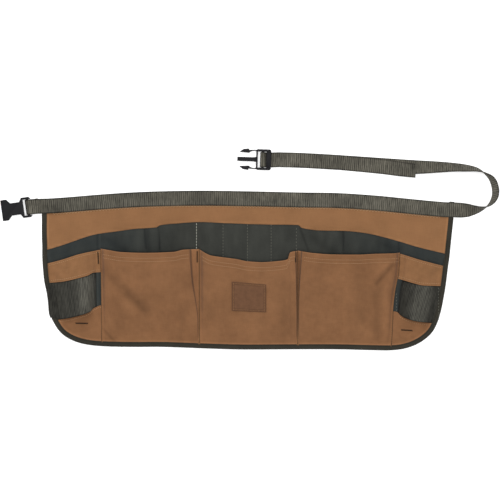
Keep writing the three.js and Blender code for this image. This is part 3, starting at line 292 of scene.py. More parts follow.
def evenly(line, count):
    # the same line again, as so many places at equal distances
    far = np.concatenate([[0], np.cumsum(np.linalg.norm(np.diff(line, axis=0), axis=1))])
    at = np.linspace(0, far[-1], count)
    return np.stack([np.interp(at, far, line[:, k]) for k in range(line.shape[1])], axis=1)


def noiseAt(points, size, seed, octaves=2):
    # soft noise from -1 to 1 whose bumps are about size millimetres wide
    shift = Vector((seed * 17.3, seed * 5.1, seed * 9.7))
    flat = points.reshape(-1, points.shape[-1])
    values = [noise.fractal(Vector(p[:2].tolist() + [0.0]) / size + shift, 1.0, 2.0, octaves) for p in flat]
    return np.array(values).reshape(points.shape[:-1])


def layered(points, layers, seed=0):
    # layers of noise, each so many millimetres wide, some of them squeezed across and up
    total = 0.0
    for layer in layers:
        squeezed = points * [*layer.get("squeeze", (1, 1)), 1]
        total = total + layer["by"] * noiseAt(squeezed, layer["wide"], layer["seed"] + seed)
    return total


# the outline, its inward directions, and the edge of the cloth inside the tape
outlineRows = curveThrough(
    np.stack([
        np.array(outlineTable["across"]) * apronWidth,
        np.array(outlineTable["up"]) * apronHeight,
        np.array(outlineTable["plies"], float),
    ], axis=1),
    8,
)
outlineLine, outlinePlies = outlineRows[:, :2], outlineRows[:, 2]


def inwardOf(line, passes):
    # directions square to the line, evened out from neighbour to neighbour
    along = np.gradient(line, axis=0)
    turned = unit(np.stack([-along[:, 1], along[:, 0]], axis=1))
    for _ in range(passes):
        turned = unit(turned + np.vstack([turned[:1], turned[:-1]]) + np.vstack([turned[1:], turned[-1:]]))
    return turned


outlineInward = inwardOf(outlineLine, 8)
clothEdge = outlineLine + outlineInward * (tapeWall + seatGap)


def distanceToOutline(x, y):
    points = np.stack([x, y], axis=-1).reshape(-1, 1, 2)
    start, along = outlineLine[None, :-1], np.diff(outlineLine, axis=0)[None]
    t = np.clip(((points - start) * along).sum(-1) / (along**2).sum(-1), 0, 1)
    near = np.linalg.norm(points - start - along * t[..., None], axis=-1).min(axis=1)
    return near.reshape(np.shape(x))


def edgeRise(x, y):
    # cloth lifts to meet the tape that closes over its edge
    t = 1 - np.clip((distanceToOutline(x, y) - tapeWidth - 1) / liftRun, 0, 1)
    return edgeLift * t * t * (3 - 2 * t)


def tapeSideHighlight(under):
    # painted highlight: the cloth shows lighter in a line along the tape
    off = distanceToOutline(under[..., 0], under[..., 1]) - tapeWidth
    return 0.45 * bell(off - 0.8, 1.7)


lowEdge = clothEdge[clothEdge[:, 1] < apronHeight * 0.25]
lowEdge = lowEdge[np.argsort(lowEdge[:, 0])]
leftEdge = clothEdge[: len(clothEdge) // 3][::-1]
rightEdge = clothEdge[-len(clothEdge) // 3 :]
beltMiddle = edgeReader(beltTable)
nylonTop = edgeReader(nylonTopTable)
nylonRise = reader(nylonRiseTable["across"], nylonRiseTable["rise"])
nylonFade = reader(nylonFadeTable["down"], nylonFadeTable["rise"])
pouchRise = reader(pouchSectionTable["span"], pouchSectionTable["rise"])
pouchFall = reader(pouchFallTable["down"], pouchFallTable["rise"])
archRise = reader(archTable["out"], archTable["rise"])


def hemUp(x):
    return np.interp(x, lowEdge[:, 0], lowEdge[:, 1])


def edgeAcross(y, turn):
    line = leftEdge if turn > 0 else rightEdge
    order = np.argsort(line[:, 1])
    return np.interp(y, line[order, 1], line[order, 0])


def add(tree, kind, settings=None, ramp=None, **sockets):
    # one node with its settings, and a value or a link for each named input
    made = tree.nodes.new(kind)
    for name, value in (settings or {}).items():
        setattr(made, name, value)
    if ramp:
        for place, colour in ramp[2:]:
            made.color_ramp.elements.new(place).color = colour
        for element, (place, colour) in zip(made.color_ramp.elements, ramp[:2]):
            element.position, element.color = place, colour
    for name, value in sockets.items():
        wanted = name.replace("_", " ")
        socket = next(s for s in made.inputs if wanted in (s.name, s.identifier) or name == s.identifier)
        if isinstance(value, bpy.types.NodeSocket):
            tree.links.new(value, socket)
        else:
            socket.default_value = value
    return made


def linear(text):
    # an sRGB hex colour as linear values
    channels = [int(text[i : i + 2], 16) / 255 for i in (1, 3, 5)]
    return [*(c / 12.92 if c <= 0.04045 else ((c + 0.055) / 1.055) ** 2.4 for c in channels), 1.0]


def painted(tree, colour):
    # the colour made lighter or darker by the piece's own painted tone, which carries its patches and its
    # painted light and shade
    tone = add(tree, "ShaderNodeAttribute", {"attribute_name": "tone"}).outputs["Fac"]
    share = add(tree, "ShaderNodeMath", {"operation": "ADD"}, Value=tone, Value_001=1.0).outputs[0]
    return add(
        tree, "ShaderNodeVectorMath", {"operation": "SCALE"}, Vector=colour, Scale=share
    ).outputs["Vector"]


wavePeriod = 0.31416  # metres from band to band of a wave texture at scale 1


def wovenMaterial(look):
    material = bpy.data.materials.new(look["material"])
    material.use_nodes = True
    tree = material.node_tree
    tree.nodes.clear()
    flat = add(tree, "ShaderNodeUVMap", {"uv_map": "flat"}).outputs["UV"]  # metres along the cloth
    place = add(tree, "ShaderNodeTexCoord").outputs["Object"]
    pitch = look["thread"] * 0.001
    checks = add(tree, "ShaderNodeTexChecker", Vector=flat, Scale=1 / pitch).outputs["Fac"]
    warp = add(tree, "ShaderNodeTexWave", {"bands_direction": "Y"}, Vector=flat, Scale=wavePeriod / pitch)
    weft = add(tree, "ShaderNodeTexWave", {"bands_direction": "X"}, Vector=flat, Scale=wavePeriod / pitch)
    weave = add(
        tree, "ShaderNodeMix", A_Float=warp.outputs["Fac"], B_Float=weft.outputs["Fac"], Factor_Float=checks
    ).outputs["Result"]
    stretched = add(tree, "ShaderNodeMapping", Vector=flat, Scale=(60, 900, 1)).outputs["Vector"]
    slubs = add(tree, "ShaderNodeTexNoise", Vector=stretched, Scale=1.0, Detail=2.0).outputs["Fac"]
    crossed = add(tree, "ShaderNodeMapping", Vector=flat, Scale=(900, 60, 1)).outputs["Vector"]
    crossSlubs = add(tree, "ShaderNodeTexNoise", Vector=crossed, Scale=1.0, Detail=2.0).outputs["Fac"]
    clouds = add(
        tree, "ShaderNodeTexNoise", Vector=place, Scale=look["clouds"], Detail=4.0, Roughness=0.6
    ).outputs["Fac"]
    grain = add(tree, "ShaderNodeMath", {"operation": "ADD"}, Value=slubs, Value_001=crossSlubs).outputs[0]
    tone = 0.5 - look["grain"]
    for part, share in ((grain, look["grain"]), (clouds, look["cloudy"]), (weave, look["woven"])):
        tone = add(
            tree, "ShaderNodeMath", {"operation": "MULTIPLY_ADD"}, Value=part, Value_001=share, Value_002=tone
        ).outputs[0]
    ramp = [(0.25, linear(look["dark"])), (0.95, linear(look["light"]))]
    colour = painted(tree, add(tree, "ShaderNodeValToRGB", ramp=ramp, Fac=tone).outputs["Color"])
    if "cool" in look:  # a cooler cast towards both ends, in patches
        far = add(tree, "ShaderNodeSeparateXYZ", Vector=place).outputs["X"]
        far = add(tree, "ShaderNodeMath", {"operation": "ABSOLUTE"}, Value=far).outputs[0]
        far = add(
            tree, "ShaderNodeMapRange", Value=far, From_Min=0.12, From_Max=0.26, To_Max=0.65
        ).outputs["Result"]
        share = add(tree, "ShaderNodeMath", {"operation": "MULTIPLY"}, Value=far, Value_001=clouds).outputs[0]
        colour = add(
            tree, "ShaderNodeMix", {"data_type": "RGBA"}, Factor_Float=share, A_Color=colour,
            B_Color=linear(look["cool"]),
        ).outputs["Result"]
    creases = add(
        tree, "ShaderNodeTexNoise", Vector=place, Scale=look["crease"], Detail=3.0, Distortion=0.6
    ).outputs["Fac"]
    soft = add(
        tree, "ShaderNodeBump", Height=creases, Distance=look["creaseDepth"] * 0.001, Strength=1.0
    ).outputs["Normal"]
    normal = add(
        tree, "ShaderNodeBump", Height=weave, Distance=look["weaveDepth"] * 0.001, Strength=0.8, Normal=soft
    ).outputs["Normal"]
    shader = add(
        tree,
        "ShaderNodeBsdfPrincipled",
        Base_Color=colour,
        Roughness=look["rough"],
        Sheen_Weight=look["fuzz"],
        Sheen_Roughness=0.6,
        Specular_IOR_Level=look["gloss"],
        Normal=normal,
    ).outputs["BSDF"]
    add(tree, "ShaderNodeOutputMaterial", Surface=shader)
    return material


# thread and rib are pitches in mm, drawn coarser than the real ones, which would be too fine to show
# clouds and crease count patches and creases to the metre, the depths are in mm

# a matt, grainy warm brown whose thick yarns catch the light one by one
canvasLook = {
    "material": "cotton duck, plain woven and dyed brown",
    "dark": "#714B31", "light": "#936C48", "rough": 0.92, "fuzz": 0.06, "gloss": 0.1,
    "thread": 0.9, "woven": 0.06, "weaveDepth": 0.16, "grain": 0.2,
    "clouds": 22, "cloudy": 0.16, "crease": 55, "creaseDepth": 0.5,
}
# the same cloth in a darker, redder copy, painted shade for the pouches and the corners
pouchLook = {
    **canvasLook, "material": "cotton duck, plain woven and dyed brown, in painted shade",
    "dark": "#644229", "light": "#835D3F", "clouds": 30, "cloudy": 0.3, "crease": 40, "creaseDepth": 1.0,
}
# a darker, tighter cloth with a faint cool cast and a slight sheen along its folds
nylonLook = {
    "material": "nylon, plain woven and dyed dark green-grey",
    "dark": "#1F201E", "light": "#373833", "cool": "#1B262B", "rough": 0.7, "fuzz": 0.03, "gloss": 0.12,
    "thread": 0.6, "woven": 0.05, "weaveDepth": 0.1, "grain": 0.18,
    "clouds": 30, "cloudy": 0.2, "crease": 40, "creaseDepth": 1.0,
}
# the same dark grey as the straps, in ribs too fine to count
tapeLook = {
    "material": "polyester binding tape, ribbed weave folded in half",
    "dark": "#201F1A", "light": "#403D34", "rough": 0.8, "fuzz": 0.03, "gloss": 0.12,
    "thread": 0.8, "woven": 0.1, "weaveDepth": 0.2, "grain": 0.2,
    "clouds": 30, "cloudy": 0.12, "crease": 90, "creaseDepth": 0.25,
}
# darker and redder than the canvas, with a dense even face
patchLook = {
    "material": "polyester label cloth, close woven in brown",
    "dark": "#503625", "light": "#6F4E37", "rough": 0.85, "fuzz": 0.06, "gloss": 0.12,
    "thread": 0.5, "woven": 0.08, "weaveDepth": 0.08, "grain": 0.16,
    "clouds": 60, "cloudy": 0.12, "crease": 120, "creaseDepth": 0.15,
}
# cross ribs catch the light unevenly, so the strap is streaked from edge to edge
webbingLook = {
    "material": "polypropylene webbing, ribbed weave in olive grey",
    "dark": "#24231F", "light": "#767266", "rough": 0.75, "gloss": 0.12,
    "rib": 3.3, "ribbed": 0.34, "streak": (430, 60), "streaky": 0.95,
}
# the wide webbing of the loops is finer ribbed and darker
loopLook = {
    **webbingLook, "material": "polypropylene webbing, two inches wide, ribbed weave in dark olive grey",
    "dark": "#1B1B18", "light": "#5C5A52", "rib": 2.6, "streak": (420, 40),
}


def webbingMaterial(look):
    material = bpy.data.materials.new(look["material"])
    material.use_nodes = True
    tree = material.node_tree
    tree.nodes.clear()
    flat = add(tree, "ShaderNodeUVMap", {"uv_map": "flat"}).outputs["UV"]
    millimetres = add(tree, "ShaderNodeMapping", Vector=flat, Scale=(1000, 1000, 1)).outputs["Vector"]
    # floats of yarn about 3.2 mm long in rows 1.25 mm apart
    yarns = add(
        tree, "ShaderNodeTexBrick", Vector=millimetres, Scale=1.0, Mortar_Size=0.16, Mortar_Smooth=0.9,
        Brick_Width=3.2, Row_Height=1.25, Mortar=(0, 0, 0, 1),
        Color1=(0.9, 0.9, 0.9, 1), Color2=(0.5, 0.5, 0.5, 1),
    ).outputs["Color"]
    ribs = add(
        tree, "ShaderNodeTexWave", {"bands_direction": "X"}, Vector=flat, Scale=1000 * wavePeriod / look["rib"],
        Distortion=1.5, Detail=1.0, Detail_Scale=0.6,
    ).outputs["Fac"]
    drawn = add(tree, "ShaderNodeMapping", Vector=flat, Scale=(*look["streak"], 1)).outputs["Vector"]
    streaks = add(
        tree, "ShaderNodeTexNoise", Vector=drawn, Scale=1.0, Detail=3.0, Roughness=0.65
    ).outputs["Fac"]
    tone = -0.2
    for part, share in ((streaks, look["streaky"]), (ribs, look["ribbed"]), (yarns, 0.12)):
        tone = add(
            tree, "ShaderNodeMath", {"operation": "MULTIPLY_ADD"}, Value=part, Value_001=share, Value_002=tone
        ).outputs[0]
    ramp = [(0.2, linear(look["dark"])), (0.95, linear(look["light"]))]
    colour = painted(tree, add(tree, "ShaderNodeValToRGB", ramp=ramp, Fac=tone).outputs["Color"])
    height = add(tree, "ShaderNodeMath", {"operation": "ADD"}, Value=ribs, Value_001=yarns).outputs[0]
    normal = add(tree, "ShaderNodeBump", Height=height, Distance=0.0004, Strength=0.8).outputs["Normal"]
    shader = add(
        tree, "ShaderNodeBsdfPrincipled", Base_Color=colour, Roughness=look["rough"],
        Specular_IOR_Level=look["gloss"], Normal=normal,
    ).outputs["BSDF"]
    add(tree, "ShaderNodeOutputMaterial", Surface=shader)
    return material


def plainMaterial(name, colour, rough, gloss, bumpSize, bumpDepth):
    # one even colour with a fine grain, its size and depth in mm
    material = bpy.data.materials.new(name)
    material.use_nodes = True
    tree = material.node_tree
    tree.nodes.clear()
    place = add(tree, "ShaderNodeTexCoord").outputs["Object"]
    fine = add(tree, "ShaderNodeTexNoise", Vector=place, Scale=1000 / bumpSize, Detail=3.0).outputs["Fac"]
    normal = add(
        tree, "ShaderNodeBump", Height=fine, Distance=bumpDepth * 0.001, Strength=0.6
    ).outputs["Normal"]
    ramp = [(0.3, [c * 0.85 for c in linear(colour)[:3]] + [1]), (0.7, linear(colour))]
    tint = add(tree, "ShaderNodeValToRGB", ramp=ramp, Fac=fine).outputs["Color"]
    shader = add(
        tree, "ShaderNodeBsdfPrincipled", Base_Color=tint, Roughness=rough, Specular_IOR_Level=gloss,
        Normal=normal,
    ).outputs["BSDF"]
    add(tree, "ShaderNodeOutputMaterial", Surface=shader)
    return material


canvas, pouchCanvas, nylon, tape, patchCloth = [
    wovenMaterial(look) for look in (canvasLook, pouchLook, nylonLook, tapeLook, patchLook)
]
webbing, loopWebbing = webbingMaterial(webbingLook), webbingMaterial(loopLook)
# near black with a dull satin face, so that its highlights stay faint and wide
acetal = plainMaterial("acetal, injection moulded in black with a satin face", "#141316", 0.42, 0.07, 0.8, 0.02)
# tan thread stands out from the canvas, the dyed one sinks into it
tanThread = plainMaterial("polyester thread, tan, machine sewn", "#A98663", 0.7, 0.1, 0.4, 0.05)
canvasThread = plainMaterial("polyester thread, brown, machine sewn", "#8A6544", 0.8, 0.1, 0.4, 0.05)
# dotted light lines on dark cloth, bright and faded
paleThread = plainMaterial("polyester thread, pale grey, machine sewn", "#B4B3A6", 0.7, 0.1, 0.4, 0.05)
greyThread = plainMaterial("polyester thread, faded grey, machine sewn", "#66655C", 0.7, 0.1, 0.4, 0.05)
darkThread = plainMaterial("polyester thread, near black, machine sewn", "#1D1A15", 0.7, 0.1, 0.4, 0.05)
print("materials made")

beneath = []  # soft faces so far, for the stitches to lie on


def meshObject(name, points, faces, material, uv, tone):
    # a smooth mesh from places in mm, with its flat layout and its painted tone
    world = (np.asarray(points).reshape(-1, 3) + apronShift) * 0.001
    mesh = bpy.data.meshes.new(name)
    mesh.from_pydata(world.tolist(), [], [list(map(int, f)) for f in faces])
    mesh.polygons.foreach_set("use_smooth", [True] * len(mesh.polygons))
    corner = np.empty(len(mesh.loops), int)
    mesh.loops.foreach_get("vertex_index", corner)
    layer = mesh.uv_layers.new(name="flat")
    layer.data.foreach_set("uv", (np.asarray(uv).reshape(-1, 2)[corner] * 0.001).ravel())
    shades = mesh.attributes.new("tone", "FLOAT", "POINT")
    shades.data.foreach_set("value", np.asarray(tone, np.float32).ravel())
    mesh.set_sharp_from_angle(angle=math.radians(50))
    mesh.materials.append(material)
    mesh.update()
    made = bpy.data.objects.new(name, mesh)
    bpy.context.collection.objects.link(made)
    beneath.append((world, [p.vertices[:] for p in mesh.polygons]))
    return made


def runLength(grid, axis):
    # how far each place lies from the first one along its row or column
    step = np.linalg.norm(np.diff(grid, axis=axis), axis=-1)
    zero = np.zeros_like(np.take(step, [0], axis=axis))
    return np.cumsum(np.concatenate([zero, step], axis=axis), axis=axis)


def clothPiece(piece, under, relief=0.0, tone=0.0):
    # closed cloth over a grid of places on its underside: columns across, rows down
    across, down = np.gradient(under, axis=0), np.gradient(under, axis=1)
    normal = unit(np.cross(down, across))
    facesUp = normal[..., 2].mean() > 0
    if not facesUp:
        normal = -normal
    wall = piece["wall"] + relief * np.ones(under.shape[:2])
    rim = np.ones(under.shape[:2])
    rim[[0, -1], :] = rim[:, [0, -1]] = 0.72  # eased edges
    top = under + normal * (wall * rim)[..., None]
    columns, rows = under.shape[:2]
    index = np.arange(columns * rows).reshape(columns, rows)
    quads = np.stack([index[:-1, :-1], index[:-1, 1:], index[1:, 1:], index[1:, :-1]], axis=-1).reshape(-1, 4)
    loop = np.concatenate([index[0, :-1], index[:-1, -1], index[-1, :0:-1], index[:0:-1, 0]])
    if not facesUp:
        quads, loop = quads[:, ::-1], loop[::-1]
    count, after = columns * rows, np.roll(loop, -1)
    rims = np.stack([loop, after, after + count, loop + count], axis=1)
    faces = np.vstack([quads[:, ::-1], quads + count, rims])
    middle = (under + top) / 2
    alongU, alongV = runLength(middle, 0), runLength(middle, 1)
    flat = np.stack([alongU, alongV], axis=-1).reshape(-1, 2)
    points = np.vstack([under.reshape(-1, 3), top.reshape(-1, 3)])
    tones = np.tile((tone + np.zeros(under.shape[:2])).ravel(), 2)
    made = meshObject(piece["name"], points, faces, piece["material"], np.vstack([flat, flat]), tones)
    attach(made, "root")
    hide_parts(piece["node"])
    return made


def coonsGrid(top, hem, left, right):
    # four edges, as lines of places, filled smoothly: top and hem run across, left and right run down
    a = np.linspace(0, 1, len(top))[:, None, None]
    d = np.linspace(0, 1, len(left))[None, :, None]
    return (
        top[:, None] * (1 - d) + hem[:, None] * d + left[None] * (1 - a) + right[None] * a
        - top[0] * (1 - a) * (1 - d) - top[-1] * a * (1 - d) - hem[0] * (1 - a) * d - hem[-1] * a * d
    )


def bodyPatch(topOf, columns, rows):
    # the whole front between an upper edge and the hem, sides taken from the outline
    split = [0.33, 0.335]
    left = clothEdge[: len(clothEdge) // 2]
    left = left[(left[:, 1] < topOf(left[:, 0])) & (left[:, 0] < -split[0] * apronWidth)]
    right = clothEdge[len(clothEdge) // 2 :]
    right = right[(right[:, 1] < topOf(right[:, 0])) & (right[:, 0] > split[1] * apronWidth)][::-1]
    left, right = evenly(left, rows), evenly(right, rows)
    topX = np.linspace(left[0, 0], right[0, 0], columns)
    top = np.stack([topX, topOf(topX)], axis=1)
    top[0], top[-1] = left[0], right[0]
    hemX = np.linspace(left[-1, 0], right[-1, 0], columns)
    hem = np.stack([hemX, hemUp(hemX)], axis=1)
    hem[0], hem[-1] = left[-1], right[-1]
    return coonsGrid(top, hem, left, right)


def raisedGrid(flat, height):
    return np.concatenate([flat, height[..., None]], axis=-1)


def foldAt(under, folds):
    # how deep narrow folds dent a place, and the painted shade or painted light that each leaves along it
    dip, shade = np.zeros(under.shape[:2]), np.zeros(under.shape[:2])
    for fold in folds:
        ends = np.array([fold["from"], fold["to"]]) * [apronWidth, apronHeight]
        along = ends[1] - ends[0]
        t = ((under[..., :2] - ends[0]) * along).sum(-1) / (along**2).sum()
        off = np.linalg.norm(under[..., :2] - ends[0] - along * np.clip(t, 0, 1)[..., None], axis=-1)
        strength = bell(off, fold["width"])
        dip += fold["dip"] * strength
        shade += fold["shade"] * strength
    return dip, shade


canvasSheet = {"slot": "canvas", "wall": canvasWall, "held": "laid"}

# the canvas panel behind everything, with painted highlights where it comes out from under the nylon and the
# tape
panel = {
    **canvasSheet, "name": "panel_cloth", "node": "back_panel", "material": canvas, "restsOn": ["table"],
    "ripple": [{"by": 0.35, "wide": 38, "squeeze": (1, 1.6), "seed": 1}, {"by": 0.15, "wide": 12, "seed": 2}],
    "mottle": [{"by": 0.08, "wide": 30, "seed": 5}],
}
flat = bodyPatch(lambda x: beltMiddle(x) + panelTuck, 240, 90)
under = raisedGrid(flat, edgeRise(flat[..., 0], flat[..., 1]))
aboveNylon = flat[..., 1] - nylonTop(flat[..., 0])
insideTape = distanceToOutline(flat[..., 0], flat[..., 1]) - tapeWidth
# painted highlights in lines above the nylon's edge and inside the tape, and patches of tone
tone = 0.24 * bell(aboveNylon - 1.6, 1.5) + 0.28 * bell(insideTape - 1, 1.5) + layered(under, panel["mottle"])
clothPiece(panel, under, np.clip(layered(under, panel["ripple"]), -0.3, 0.45), tone)

# the nylon with the rear pockets, its upper edge turned over once
# folds and seam lines in the nylon, in shares of the width and height, width and dip in mm; shade is painted
# shade along a dent or painted light along a ridge
nylonFolds = [
    {"from": (-0.2508, 0.765), "to": (-0.2474, 0.64), "width": 1.5, "dip": 0.5, "shade": -0.5},
    {"from": (-0.2166, 0.775), "to": (-0.2134, 0.63), "width": 1.5, "dip": 0.5, "shade": -0.5},
    {"from": (0.2314, 0.745), "to": (0.2314, 0.62), "width": 1.5, "dip": 0.5, "shade": -0.5},
    {"from": (0.1269, 0.765), "to": (0.1463, 0.627), "width": 2.0, "dip": 0.5, "shade": -0.4},
    {"from": (-0.243, 0.755), "to": (-0.241, 0.63), "width": 4, "dip": 0.1, "shade": -0.25},
    {"from": (-0.345, 0.7), "to": (-0.3, 0.63), "width": 7, "dip": 0.1, "shade": -0.3},
    {"from": (-0.26, 0.74), "to": (-0.27, 0.64), "width": 7, "dip": -0.2, "shade": 0.3},
    {"from": (0.16, 0.7), "to": (0.2, 0.63), "width": 8, "dip": 0.1, "shade": -0.25},
    {"from": (0.21, 0.73), "to": (0.2, 0.66), "width": 7, "dip": -0.2, "shade": 0.2},
    {"from": (0.33, 0.66), "to": (0.37, 0.63), "width": 8, "dip": 0.1, "shade": -0.3},
    {"from": (-0.3653, 0.725), "to": (-0.3648, 0.633), "width": 1.3, "dip": 0.3, "shade": -0.4},
    {"from": (-0.3593, 0.728), "to": (-0.3588, 0.633), "width": 1.5, "dip": -0.2, "shade": 0.3},
    {"from": (0.366, 0.68), "to": (0.3665, 0.615), "width": 1.3, "dip": 0.3, "shade": -0.4},
    {"from": (-0.3665, 0.485), "to": (-0.3655, 0.29), "width": 2.6, "dip": -0.2, "shade": 0.8},
    {"from": (0.3645, 0.44), "to": (0.3575, 0.25), "width": 1.6, "dip": -0.2, "shade": 0.4},
]
nylonPiece = {
    "name": "nylon_cloth", "node": "rear_pocket_panel", "material": nylon, "slot": "nylon", "wall": nylonWall,
    "held": "laid", "restsOn": ["panel_cloth"], "turned": {"rise": 0.5, "depth": 11, "softness": 0.7},
    "ripple": [{"by": 0.3, "wide": 26, "squeeze": (1.5, 1), "seed": 3}],
    "mottle": [{"by": 0.25, "wide": 14, "squeeze": (1, 0.4), "seed": 6}],
}


def turnedUnder(down, rise, depth, softness):
    # a second ply as deep as the turned edge, with its step softened
    return rise / (1 + np.exp((down - depth) / softness))


flat = bodyPatch(nylonTop, 300, 96)
x, y = flat[..., 0], flat[..., 1]
below = nylonTop(x) - y
bulge = rearGape * nylonRise(x / apronWidth) * nylonFade(below / rearDepth)
under = raisedGrid(flat, nylonFloor + edgeRise(x, y) + bulge)
ripple = layered(under, nylonPiece["ripple"]) * np.clip(below / 12, 0, 1)
dip, shade = foldAt(under, nylonFolds)

# soft shade just above the mouths of the pouches and bands
frontTop = np.zeros_like(x)
for side in sides:
    beyond = (side["inner"]["across"][0] * apronWidth - x) * side["turn"] > 0
    frontTop = np.where(beyond, edgeReader(side["bandTop"])(x), frontTop)
for pouch in pouches:
    low, high = sorted([pouch["near"]["across"][0], pouch["far"]["across"][0]])
    between = (x > low * apronWidth) & (x < high * apronWidth)
    frontTop = np.where(between, edgeReader(pouch["mouth"])(x), frontTop)
# painted shade along the nylon's upper edge, the folds' painted shade and light, patches of tone, a little
# lighter towards the middle, and painted shade above the mouths
tone = shade - 0.4 * bell(below, 1.7) + layered(under, nylonPiece["mottle"])
tone = tone + 0.2 * bell(x, 90) - 0.5 * bell(y - frontTop - 0.8, 1.7)
relief = turnedUnder(below, **nylonPiece["turned"]) + np.clip(ripple - dip, -0.6, 0.4)
clothPiece(nylonPiece, under, relief, np.clip(tone, -0.7, 0.8))
print("panel and nylon made")


def pouchAnchors(pouch, down):
    # near seam, its foot, the fold, the far seam's foot and the far seam, at a share of the way down
    near = reader(pouch["near"]["down"], pouch["near"]["across"])(down) * apronWidth
    far = reader(pouch["far"]["down"], pouch["far"]["across"])(down) * apronWidth
    foot = footWidth * np.sign(far - near)
    fold = mix(near, far, reader(pouch["fold"]["down"], pouch["fold"]["share"])(down))
    return np.stack([near, near + foot, fold, far - foot, far])


def spanPlace(anchors, span):
    # the place across at a span that counts from 0 to 4 along the anchors
    i = np.clip(np.floor(span).astype(int), 0, 3)
    low = np.take_along_axis(anchors, i[None], axis=0)[0]
    high = np.take_along_axis(anchors, i[None] + 1, axis=0)[0]
    return mix(low, high, span - i)


def spanAt(anchors, x):
    # the other way round: the span of a place across
    turn = np.sign(anchors[-1] - anchors[0])
    i = sum(((x - anchors[k]) * turn > 0).astype(int) for k in (1, 2, 3))
    low = np.take_along_axis(anchors, i[None], axis=0)[0]
    high = np.take_along_axis(anchors, i[None] + 1, axis=0)[0]
    return i + (x - low) / (high - low)


def pouchHeight(pouch, x, y, down):
    anchors = pouchAnchors(pouch, down)
    across = (x - anchors[0]) / (anchors[4] - anchors[0])
    dent = np.zeros_like(x)
    for crease in pouch["creases"]:
        start = np.array(crease["from"])
        along = np.array(crease["to"]) - start
        at = np.stack([across, down], axis=-1)
        t = np.clip(((at - start) * along).sum(-1) / (along**2).sum(), 0, 1)
        off = np.linalg.norm(at - start - along * t[..., None], axis=-1)
        dent += crease["depth"] * bell(off, crease["width"])
    rise = pouchRise(spanAt(anchors, x)) * pouchFall(down) * (1 - dent)
    return frontFloor + edgeRise(x, y) + pouchGape * rise


def pouchGrid(pouch, spans, downs):
    span, down = np.meshgrid(spans, downs, indexing="ij")
    zero = np.zeros_like(span)
    x = spanPlace(pouchAnchors(pouch, down), span)
    mouthX = spanPlace(pouchAnchors(pouch, zero), span)
    hemX = spanPlace(pouchAnchors(pouch, zero + 1), span)
    y = mix(edgeReader(pouch["mouth"])(mouthX), hemUp(hemX), down)
    return np.stack([x, y, pouchHeight(pouch, x, y, down)], axis=-1)


# soft folds in the fronts, each with painted light or painted shade along its flank
pouchFolds = [
    [
        {"from": (-0.345, 0.5), "to": (-0.245, 0.245), "width": 8, "dip": 0.5, "shade": -0.14},
        {"from": (-0.29, 0.36), "to": (-0.252, 0.255), "width": 8, "dip": 0.4, "shade": -0.16},
        {"from": (-0.335, 0.4), "to": (-0.285, 0.27), "width": 10, "dip": -0.4, "shade": 0.07},
        {"from": (-0.352, 0.14), "to": (-0.318, 0.035), "width": 3, "dip": 0.4, "shade": -0.22},
        {"from": (-0.15, 0.3), "to": (-0.165, 0.04), "width": 6, "dip": 0.3, "shade": -0.08},
    ],
    [
        {"from": (-0.03, 0.5), "to": (0.02, 0.5), "width": 8, "dip": -0.2, "shade": 0.05},
        {"from": (0.09, 0.45), "to": (0.085, 0.05), "width": 6, "dip": 0.2, "shade": -0.06},
    ],
    [
        {"from": (0.349, 0.53), "to": (0.312, 0.42), "width": 4, "dip": 0.6, "shade": -0.28},
        {"from": (0.338, 0.545), "to": (0.3, 0.45), "width": 4, "dip": -0.4, "shade": 0.12},
        {"from": (0.336, 0.4), "to": (0.332, 0.06), "width": 6, "dip": -0.5, "shade": 0.14},
        {"from": (0.31, 0.36), "to": (0.316, 0.08), "width": 6, "dip": 0.4, "shade": -0.12},
        {"from": (0.28, 0.5), "to": (0.276, 0.2), "width": 19, "dip": 0.3, "shade": -0.13},
        {"from": (0.236, 0.54), "to": (0.234, 0.1), "width": 6, "dip": -0.3, "shade": 0.06},
        {"from": (0.262, 0.2), "to": (0.292, 0.1), "width": 7, "dip": -0.3, "shade": 0.07},
    ],
]

# the three canvas pouches: turned mouths with two rows of stitching, soft dents below
front = {
    **canvasSheet, "material": pouchCanvas, "restsOn": ["nylon_cloth"],
    "turned": {"rise": 0.55, "depth": hemDepth, "softness": 0.8},
    "puckers": [{"by": 0.12, "wide": 5, "squeeze": (1, 0.3), "seed": 20}],
    "ripple": [
        {"by": 0.55, "wide": 42, "squeeze": (1, 1.3), "seed": 10},
        {"by": 0.22, "wide": 13, "seed": 14},
    ],
    "mottle": [{"by": 0.12, "wide": 34, "seed": 50}, {"by": 0.08, "wide": 9, "seed": 54}],
}
spans = np.concatenate([
    np.linspace(0, 1, 3)[:-1],
    1 + np.linspace(0, 1, 112)[:-1] ** 1.25,
    np.linspace(2, 3, 17)[:-1],
    np.linspace(3, 4, 3),
])
downs = np.concatenate([np.linspace(0, 0.14, 22)[:-1], np.linspace(0.14, 1, 82)])
for number, pouch in enumerate(pouches):
    piece = {**front, "name": "pouch_" + pouch["name"].split("_")[0], "node": pouch["name"]}
    under = pouchGrid(pouch, spans, downs)
    far = runLength(under, 1)
    turned = turnedUnder(far, **front["turned"])
    for row in hemRows:
        turned = turned - 0.28 * bell(far - row, 0.9)
    puckers = layered(under, front["puckers"], number) * bell(far - 12, 9)
    inside = np.clip(np.minimum(spans - 1, 2 - spans) * 6, 0, 1)[:, None]
    ripple = np.clip(layered(under, front["ripple"], number), -0.6, 0.8) * inside
    dip, shade = foldAt(under, pouchFolds[number])
    # painted shade behind the fold, painted light on the pleat and the near foot, and a painted highlight at
    # the mouth's lip and along the tape
    crease = -0.35 * bell(spans - 2.12, 0.07) + 0.22 * (spans > 2.3) + 0.1 * (spans < 1.02)
    tone = shade + 0.35 * bell(far, 1.0) + tapeSideHighlight(under) + crease[:, None]
    tone = tone + layered(under, front["mottle"], number)
    clothPiece(piece, under, turned + puckers + ripple - np.clip(dip, -0.5, 0.8), np.clip(tone, -0.7, 0.6))
print("pouches made")

